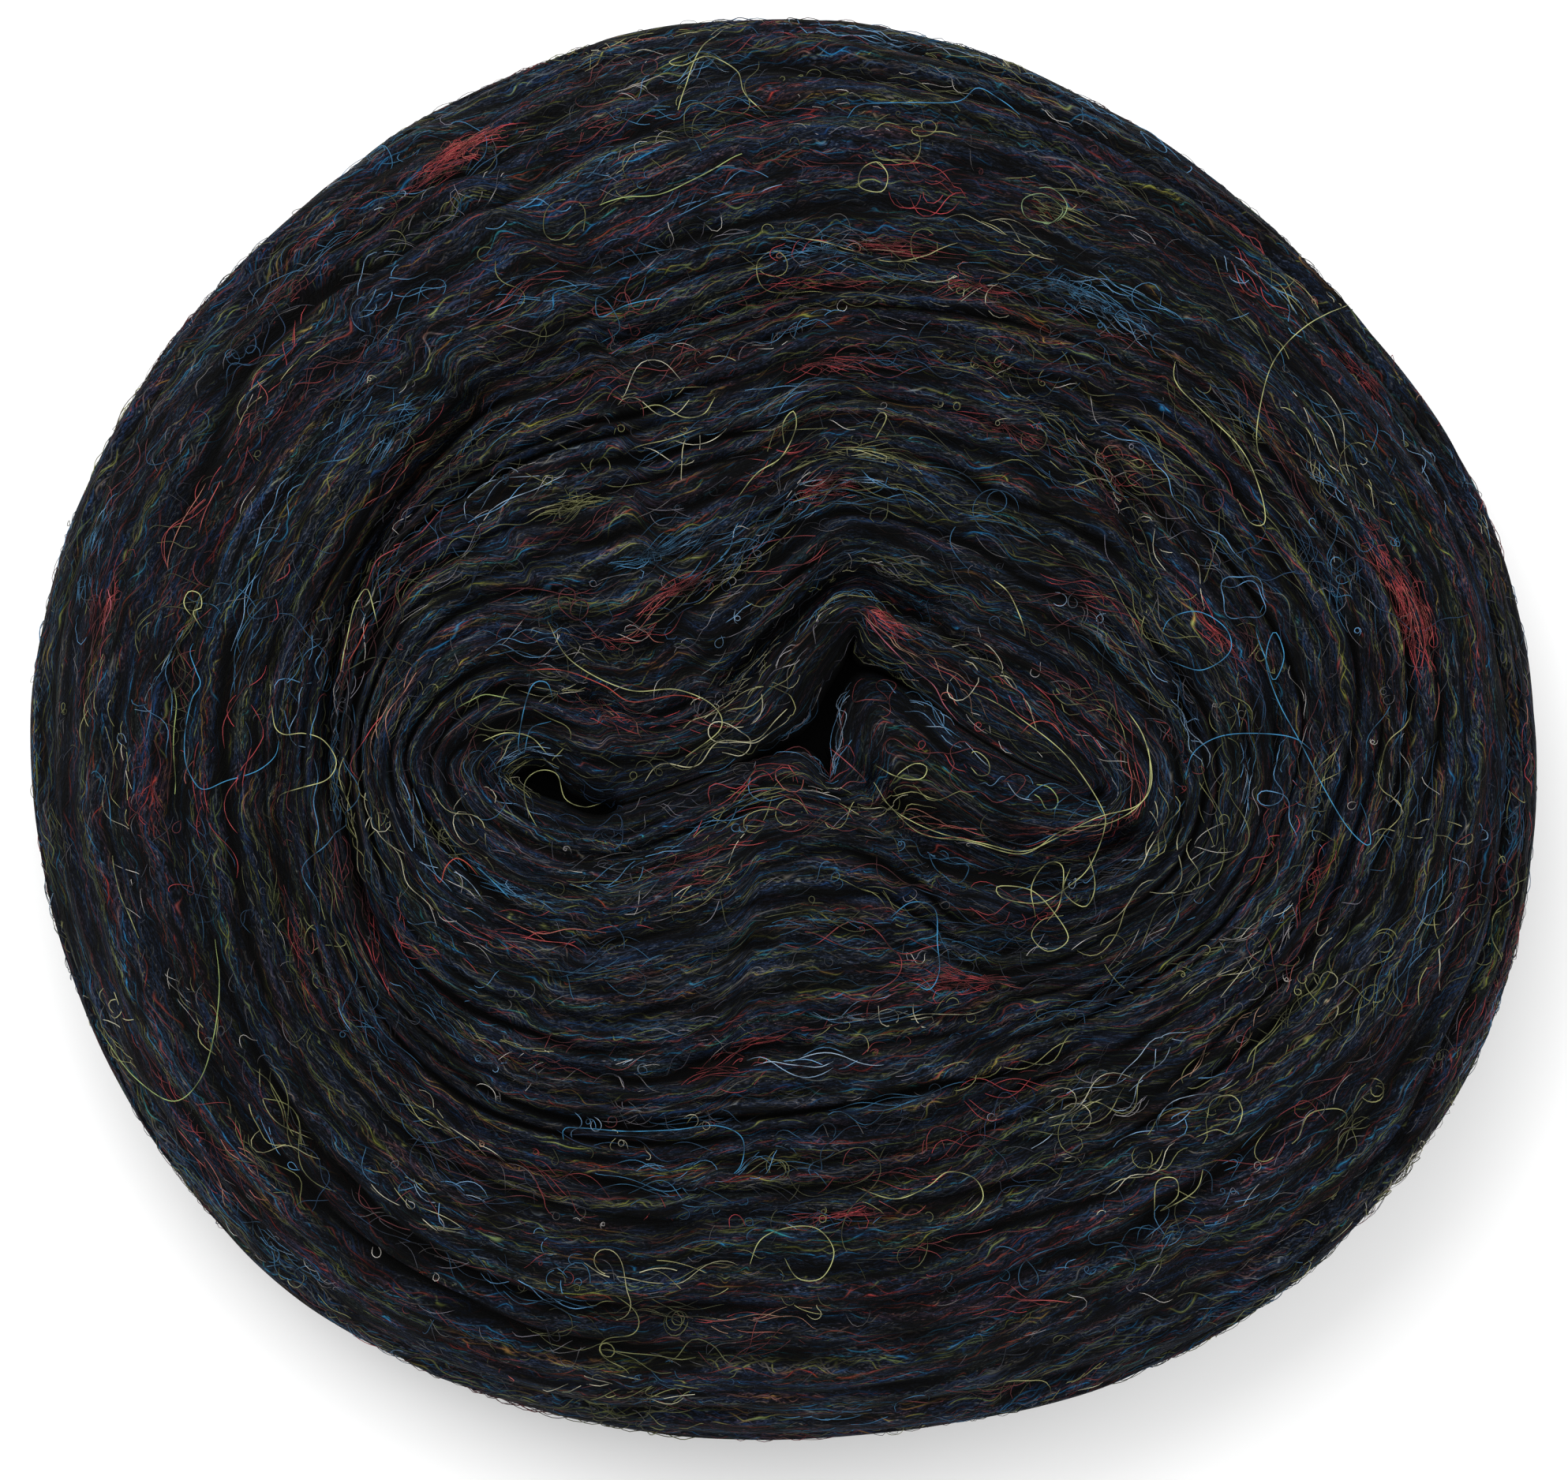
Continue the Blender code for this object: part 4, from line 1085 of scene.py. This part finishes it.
def roving_material(wool):
    """Unspun charcoal wool roving, felted by winding: matt, with hairs along the layers.

    The eye sees near-black hollows, charcoal and brown-grey hairs, and hairs of navy, rust and
    olive that follow the winding and cross one another. Real hairs are 0.03 mm thick, so they
    are drawn five to eight times coarser to show.
    """
    material, tree, shader = new_material("charcoal_wool_roving")
    winding = add_node(tree, "ShaderNodeAttribute", {"attribute_name": "winding"}).outputs["Vector"]
    across = add_node(tree, "ShaderNodeSeparateXYZ", None, {"Vector": winding}).outputs["Z"]

    # Streaks of noise along the winding: for the felt, for the strands' shade, and for how far
    # each set of hairs is pushed aside.
    rows = dict(STREAK_NOISE)
    detail, first, apart = DRIFT_NOISE
    for number, (_, _, drift_across, drift_along, _, _) in enumerate(HAIRS):
        rows[number] = (drift_across, drift_along, detail, first + apart * number)
    streaks = {}
    for name, (across_mm, along_mm, detail, offset) in rows.items():
        scale = (1 / (along_mm * MM), 1 / (along_mm * MM), 1 / (across_mm * MM))
        place = add_node(tree, "ShaderNodeMapping", None, {
            "Vector": winding, "Scale": scale, "Location": (offset, offset, offset)})
        streaks[name] = add_node(tree, "ShaderNodeTexNoise", None, {
            "Vector": place, "Scale": 1.0, "Detail": detail})

    # The felt under the hairs: short streaks from black to dark grey. Its black, the hollow
    # shade, is painted shade between the hairs.
    felt = add_node(tree, "ShaderNodeMath", {"operation": "MAXIMUM"},
                    {0: streaks["felt"], 1: streaks["short felt"]})
    shades = wool.hollow, wool.ground, wool.charcoal, wool.grey
    colour = add_node(tree, "ShaderNodeValToRGB", None, {"Fac": felt},
                      list(zip(FELT_STOPS, shades)))
    height = add_node(tree, "ShaderNodeMapRange", None, {
        "Value": felt, "From Min": FELT_STOPS[0], "From Max": FELT_STOPS[-1], "To Max": 0.4,
    })

    # Each set of hairs is lines at an even spacing across the winding, pushed aside by a slow
    # noise. A hair has one shade, and comes and goes along its length as it dips into the felt.
    for number, (spacing, reach, _, _, run, share) in enumerate(HAIRS):
        aside = add_node(tree, "ShaderNodeMath", {"operation": "MULTIPLY"},
                         {0: streaks[number], 1: reach / spacing})
        place = add_node(tree, "ShaderNodeMath", {"operation": "MULTIPLY_ADD"},
                         {0: across, 1: 1 / (spacing * MM), 2: aside})
        hair = add_node(tree, "ShaderNodeMath", {"operation": "FLOOR"}, {0: place})
        middle = add_node(tree, "ShaderNodeMath", {"operation": "PINGPONG"}, {0: place, 1: 0.5})
        ridge = add_node(tree, "ShaderNodeMapRange", {"interpolation_type": "SMOOTHSTEP"}, {
            "Value": middle, "From Min": 0.5 - share, "From Max": 0.5})
        apart = add_node(tree, "ShaderNodeMath", {"operation": "MULTIPLY"},
                         {0: hair, 1: HAIRS_APART})
        apart = add_node(tree, "ShaderNodeCombineXYZ", None, {"Z": apart})
        along = add_node(tree, "ShaderNodeVectorMath", {"operation": "MULTIPLY_ADD"}, {
            0: winding, 1: (1 / (run * MM), 1 / (run * MM), 0.0), 2: apart})
        dips = add_node(tree, "ShaderNodeTexNoise", None, {
            "Vector": along, "Scale": 1.0, "Detail": 0.5})
        dips = add_node(tree, "ShaderNodeMapRange", {"interpolation_type": "SMOOTHSTEP"}, {
            "Value": dips, "From Min": DIPS[0], "From Max": DIPS[1]})
        ridge = add_node(tree, "ShaderNodeMath", {"operation": "MULTIPLY"}, {0: ridge, 1: dips})
        chance = add_node(tree, "ShaderNodeMath", {"operation": "ADD"},
                          {0: hair, 1: SETS_APART * number})
        chance = add_node(tree, "ShaderNodeTexWhiteNoise", {"noise_dimensions": "1D"},
                          {"W": chance})
        shades = add_node(tree, "ShaderNodeValToRGB", None, {"Fac": chance},
                          [(low, getattr(wool, name)) for name, low in HAIR_SHADES])
        shades.color_ramp.interpolation = "CONSTANT"
        colour = add_node(tree, "ShaderNodeMix", {"data_type": "RGBA"}, {
            0: ridge, 6: colour, 7: shades}).outputs[2]
        height = add_node(tree, "ShaderNodeMath", {"operation": "MAXIMUM"}, {0: height, 1: ridge})

    # Stretches of each strand have a cast of one dye.
    place = add_node(tree, "ShaderNodeMapping", None, {
        "Vector": winding, "Scale": (1 / (BAND[1] * MM), 1 / (BAND[1] * MM), 1 / (BAND[0] * MM))})
    dyes = add_node(tree, "ShaderNodeTexNoise", None, {
        "Vector": place, "Scale": 1.0, "Detail": 1.0}).outputs["Color"]
    dyes = add_node(tree, "ShaderNodeSeparateColor", None, {"Color": dyes})
    cast = (1.0, 1.0, 1.0, 1.0)
    for channel, low, high, most, gain in CASTS:
        share = add_node(tree, "ShaderNodeMapRange", None, {
            "Value": dyes.outputs[channel], "From Min": low, "From Max": high, "To Max": most})
        cast = add_node(tree, "ShaderNodeMix", {"data_type": "RGBA"}, {
            0: share, 6: cast, 7: (*gain, 1.0)}).outputs[2]
    dyed = add_node(tree, "ShaderNodeVectorMath", {"operation": "MULTIPLY"}, {0: colour, 1: cast})

    # Strands are lighter and darker by stretches. The crest attribute paints light and shade:
    # the colour is lighter on the layers' crests and darker in the valleys between layers, where
    # the light that enters is lost among the fibres, and darker still in the closed seam and the
    # core's holes.
    strands = add_node(tree, "ShaderNodeMapRange", None, {
        "Value": streaks["strands"], "From Min": 0.32, "From Max": 0.68, "To Min": 0.10,
        "To Max": 1.78})
    crest = add_node(tree, "ShaderNodeAttribute", {"attribute_name": "crest"}).outputs["Fac"]
    crest = add_node(tree, "ShaderNodeMapRange", None, {
        "Value": crest, "From Min": -1.35, "From Max": 0.8, "To Min": 0.03, "To Max": 1.30,
    })
    shade = add_node(tree, "ShaderNodeMath", {"operation": "MULTIPLY"}, {0: strands, 1: crest})
    shaded = add_node(tree, "ShaderNodeVectorMath", {"operation": "SCALE"}, {
        0: dyed, "Scale": shade})
    tree.links.new(shaded.outputs["Vector"], shader.inputs["Base Color"])
    bump = add_node(tree, "ShaderNodeBump", None, {
        "Height": height, "Strength": 1.0, "Distance": wool.hair_relief})
    tree.links.new(bump.outputs["Normal"], shader.inputs["Normal"])
    shader.inputs["Roughness"].default_value = 0.95
    shader.inputs["Specular IOR Level"].default_value = 0.1
    return material


# Ramps from a fibre's own tint, dark and dull shades first.
FIBRE_COLOURS = {
    "grey_down": ("#171a22", "#2d2f37", "#4a4847", "#5b5862", "#96928c"),
    "olive_fibres": ("#2b2c1c", "#44462c", "#5c5e39", "#79774f", "#969380"),
    "blue_fibres": ("#13253b", "#1b3c53", "#285470", "#456e90", "#6f8090"),
    "red_fibres": ("#301519", "#4c1f21", "#672729", "#8c3035", "#7d6250"),
    "stray_fibres": ("#8c8b5e", "#6c7b49", "#256078", "#2d6894", "#803026"),
}
FIBRE_STOPS = (0.0, 0.35, 0.60, 0.82, 1.0)
PATCH = 3.0                # size of the stretches in which fibres are lighter or darker


def fibre_material(name):
    """Dyed wool fibres: matt and a little translucent to the eye, each one of its own shade.

    Wool fibres are 0.03 to 0.06 mm thick. They are drawn two to three times as thick,
    and fewer, so that they show at this size.
    """
    material, tree, shader = new_material(name + "_dyed_wool")
    tint = add_node(tree, "ShaderNodeAttribute", {"attribute_name": "tint"}).outputs["Fac"]
    colours = [srgb(code) for code in FIBRE_COLOURS[name]]
    ramp = add_node(tree, "ShaderNodeValToRGB", None, {"Fac": tint},
                    list(zip(FIBRE_STOPS, colours)))
    place = add_node(tree, "ShaderNodeTexCoord").outputs["Object"]
    patches = add_node(tree, "ShaderNodeTexNoise", None, {
        "Vector": place, "Scale": 1 / (PATCH * MM), "Detail": 2.0})
    shade = add_node(tree, "ShaderNodeMapRange", None, {
        "Value": patches, "From Min": 0.36, "From Max": 0.60, "To Min": 0.25, "To Max": 1.60,
    })
    shaded = add_node(tree, "ShaderNodeVectorMath", {"operation": "SCALE"}, {
        0: ramp, "Scale": shade})
    tree.links.new(shaded.outputs["Vector"], shader.inputs["Base Color"])
    shader.inputs["Roughness"].default_value = 0.7
    shader.inputs["Specular IOR Level"].default_value = 0.25
    return material


# Built once, when the first operator needs it.
made = {}


def surface():
    """The wound surface's grid, worked out once."""
    if "surface" not in made:
        made["surface"] = WoundSurface()
    return made["surface"]


def winding_coordinates(grid):
    """Place of each point on an unrolled winding: a circle of the row's length, and mm across.

    Row by row, the length round the winding gives a circle's radius and the share of it a
    point's angle, so a pattern on it closes without a seam. The distance across is the
    average of all columns, with a share of each column's own.
    """
    step = np.linalg.norm(np.roll(grid.smooth, -1, axis=1) - grid.smooth, axis=2)
    length = step.sum(axis=1, keepdims=True)
    angle = 2 * np.pi * (np.cumsum(step, axis=1) - step) / length
    radius = length / (2 * np.pi)
    width = np.linalg.norm(np.diff(grid.smooth, axis=0, prepend=grid.smooth[:1]), axis=2)
    across = np.cumsum(OWN_ACROSS * width + (1 - OWN_ACROSS) * width.mean(axis=1)[:, None], axis=0)
    return np.stack([radius * np.cos(angle), radius * np.sin(angle), across], axis=-1)


def grid_across(grid):
    """How far each row is from the first across the surface, in mm, on average."""
    width = np.linalg.norm(np.diff(grid.smooth, axis=0), axis=2).mean(axis=1)
    return np.concatenate([[0], np.cumsum(width)])


CAP_BAND = 0.06            # share of the map's height that is kept for the caps
CAP_RADIUS = 0.025
CAP_PLACE = 0.027
CAPS_APART = 0.1


def grid_map(grid):
    """The texture map of the wound grid: turn by distance across, and the caps as small discs."""
    across = grid_across(grid)
    across = CAP_BAND + (1 - CAP_BAND) * across / across[-1]
    row, column = np.meshgrid(np.arange(len(across) - 1), np.arange(COLUMNS), indexing="ij")
    u = np.stack([column, column, column + 1, column + 1], axis=-1) / COLUMNS
    v = np.stack([across[row], across[row + 1], across[row + 1], across[row]], axis=-1)
    quads = np.stack([u, v], axis=-1).reshape(-1, 2)
    angle = 2 * np.pi * np.arange(COLUMNS) / COLUMNS
    disc = CAP_RADIUS * np.stack([np.cos(angle), np.sin(angle)], axis=-1) + CAP_PLACE
    return np.concatenate([quads, disc, disc[::-1] + (CAPS_APART, 0)])


class YARNCAKE_OT_wound_roving(bpy.types.Operator):
    """Build the wound roving: its layers, grooves, folds and collapsed core"""

    bl_idname = "yarn_cake.wound_roving"
    bl_label = "Wound Roving"

    def execute(self, context):
        grid = surface()
        rows, columns = grid.points.shape[:2]
        faces, corners = grid_faces(rows, columns)
        mesh = write_mesh("wound_roving", grid.points.reshape(-1, 3), faces, corners)
        write_attribute(mesh, "winding", winding_coordinates(grid).reshape(-1, 3) * MM)
        # Each point's openness to the light, which the material paints as light and shade.
        write_attribute(mesh, "crest", grid.openness().astype(np.float32).ravel())
        write_map(mesh, grid_map(grid))
        piece = put_in_scene(mesh, roving_material(context.scene.yarn_cake_wool))
        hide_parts(NODE)
        return {"FINISHED"}


class YARNCAKE_OT_loose_fibres(bpy.types.Operator):
    """Add the fuzz of each colour, which follows the winding in locks, curls and loops"""

    bl_idname = "yarn_cake.loose_fibres"
    bl_label = "Loose Fibres"

    def execute(self, context):
        for number, name in enumerate(FIBRES):
            put_in_scene(fibre_family(name, SEED + 20 + number), fibre_material(name))
        return {"FINISHED"}


class YARNCAKE_OT_stray_fibres(bpy.types.Operator):
    """Add the long stray fibres that lie over the cake where the photograph shows them"""

    bl_idname = "yarn_cake.stray_fibres"
    bl_label = "Stray Fibres"

    def execute(self, context):
        put_in_scene(stray_fibres(), fibre_material("stray_fibres"))
        return {"FINISHED"}


class YARNCAKE_OT_stage(bpy.types.Operator):
    """Add the pale floor, the soft lamps and the camera above the cake"""

    bl_idname = "yarn_cake.stage"
    bl_label = "Stage"

    def execute(self, context):
        look = context.scene.yarn_cake_stage
        floor_mesh = bpy.data.meshes.new("floor")
        half = look.floor_size / 2
        corners = [(-half, -half, 0), (half, -half, 0), (half, half, 0), (-half, half, 0)]
        floor_mesh.from_pydata(corners, [], [(0, 1, 2, 3)])
        floor = bpy.data.objects.new("floor", floor_mesh)
        context.scene.collection.objects.link(floor)
        material, _, shader = new_material("white_paper")
        shader.inputs["Base Color"].default_value = (*look.floor_colour, 1.0)
        shader.inputs["Roughness"].default_value = 0.9
        floor_mesh.materials.append(material)
        floor.location.z = -0.0002

        world = bpy.data.worlds.new("studio")
        world.use_nodes = True
        world.node_tree.nodes["Background"].inputs["Color"].default_value = (1, 1, 1, 1)
        world.node_tree.nodes["Background"].inputs["Strength"].default_value = look.ambient
        context.scene.world = world
        for name, place, size, power in (
                ("upper_left_lamp", (-0.35, 0.45, 0.75), 0.9, look.lamp_power),
                ("right_lamp", (0.6, -0.1, 0.7), 0.9, look.lamp_power * 0.45)):
            lamp = bpy.data.lights.new(name, "AREA")
            lamp.size = size
            lamp.energy = power
            thing = bpy.data.objects.new(name, lamp)
            context.scene.collection.objects.link(thing)
            thing.location = place
            aim = np.array([0, 0, 0.03]) - np.array(place)
            thing.rotation_euler = Vector(aim).to_track_quat("-Z", "Y").to_euler()

        camera = bpy.data.cameras.new("camera")
        camera.lens = 36.0 * look.camera_distance / look.frame_width
        camera.clip_start = 0.01
        viewer = bpy.data.objects.new("camera", camera)
        context.scene.collection.objects.link(viewer)
        elevation = look.camera_elevation
        aim = Vector((look.aim_x, look.aim_y, HEIGHT * MM / 2))
        back = Vector((0, -math.cos(elevation), math.sin(elevation)))
        viewer.location = aim + back * look.camera_distance
        viewer.rotation_euler = (-back).to_track_quat("-Z", "Y").to_euler()
        context.scene.camera = viewer
        context.scene.view_settings.view_transform = "Standard"
        return {"FINISHED"}


class YarnCakeWool(bpy.types.PropertyGroup):
    """Shades of the roving's hairs, and how they stand out"""

    hollow: bpy.props.FloatVectorProperty(
        name="Hollow", description="Shade between the hairs", subtype="COLOR",
        default=srgb("#020304")[:3])
    ground: bpy.props.FloatVectorProperty(
        name="Ground", description="Darkest hairs", subtype="COLOR", default=srgb("#080c14")[:3])
    charcoal: bpy.props.FloatVectorProperty(
        name="Charcoal", description="Most of the hairs", subtype="COLOR",
        default=srgb("#191e29")[:3])
    grey: bpy.props.FloatVectorProperty(
        name="Grey", description="Lighter brown-grey hairs", subtype="COLOR",
        default=srgb("#3e3b37")[:3])
    pale: bpy.props.FloatVectorProperty(
        name="Pale", description="The few pale hairs", subtype="COLOR",
        default=srgb("#57544e")[:3])
    navy: bpy.props.FloatVectorProperty(
        name="Navy", description="Navy hairs", subtype="COLOR", default=srgb("#12263c")[:3])
    teal: bpy.props.FloatVectorProperty(
        name="Teal", description="Teal hairs", subtype="COLOR", default=srgb("#1f566e")[:3])
    olive: bpy.props.FloatVectorProperty(
        name="Olive", description="Olive yellow hairs", subtype="COLOR",
        default=srgb("#5a5c32")[:3])
    rust: bpy.props.FloatVectorProperty(
        name="Rust", description="Rust red hairs", subtype="COLOR", default=srgb("#5c2925")[:3])
    hair_relief: bpy.props.FloatProperty(
        name="Hair Relief", description="How far the hairs stand out of the felt",
        default=0.3 * MM, unit="LENGTH", precision=5)


class YarnCakeStage(bpy.types.PropertyGroup):
    """Floor, light and camera"""

    floor_size: bpy.props.FloatProperty(
        name="Floor Size", description="Width of the floor", default=4.0, unit="LENGTH")
    floor_colour: bpy.props.FloatVectorProperty(
        name="Floor", description="Colour of the floor", subtype="COLOR",
        default=srgb("#f4f4f4")[:3])
    ambient: bpy.props.FloatProperty(
        name="Ambient", description="Strength of the light from all round", default=0.78)
    lamp_power: bpy.props.FloatProperty(
        name="Lamp", description="Power of the upper left lamp, in watts", default=9.0)
    camera_distance: bpy.props.FloatProperty(
        name="Distance", description="Camera to the middle of the cake", default=0.9, unit="LENGTH")
    camera_elevation: bpy.props.FloatProperty(
        name="Elevation", description="Camera's angle above the floor", default=math.radians(87),
        subtype="ANGLE")
    frame_width: bpy.props.FloatProperty(
        name="Frame Width", description="What the picture's width takes in at the cake's middle",
        default=0.2094, unit="LENGTH")
    aim_x: bpy.props.FloatProperty(
        name="Aim X", description="Where the camera looks", default=-0.0001, unit="LENGTH")
    aim_y: bpy.props.FloatProperty(
        name="Aim Y", description="Where the camera looks", default=-0.0017, unit="LENGTH")


class YARNCAKE_PT_panel(bpy.types.Panel):
    """Lists the pieces of the yarn cake"""

    bl_idname = "YARNCAKE_PT_panel"
    bl_label = "Yarn Cake"
    bl_space_type = "VIEW_3D"
    bl_region_type = "UI"
    bl_category = "Yarn Cake"

    def draw(self, context):
        for operator in OPERATORS:
            self.layout.operator(operator.bl_idname)


OPERATORS = (
    YARNCAKE_OT_wound_roving,
    YARNCAKE_OT_loose_fibres,
    YARNCAKE_OT_stray_fibres,
    YARNCAKE_OT_stage,
)
CLASSES = (YarnCakeWool, YarnCakeStage, *OPERATORS, YARNCAKE_PT_panel)


def register():
    """Register the classes, and the settings that the scene keeps."""
    for kind in CLASSES:
        bpy.utils.register_class(kind)
    bpy.types.Scene.yarn_cake_wool = bpy.props.PointerProperty(type=YarnCakeWool)
    bpy.types.Scene.yarn_cake_stage = bpy.props.PointerProperty(type=YarnCakeStage)


def unregister():
    del bpy.types.Scene.yarn_cake_stage
    del bpy.types.Scene.yarn_cake_wool
    for kind in reversed(CLASSES):
        bpy.utils.unregister_class(kind)


def main():
    """Build the pieces and the stage."""
    register()
    bpy.ops.yarn_cake.wound_roving()
    bpy.ops.yarn_cake.loose_fibres()
    bpy.ops.yarn_cake.stray_fibres()
    bpy.ops.yarn_cake.stage()


if __name__ == "__main__":
    main()
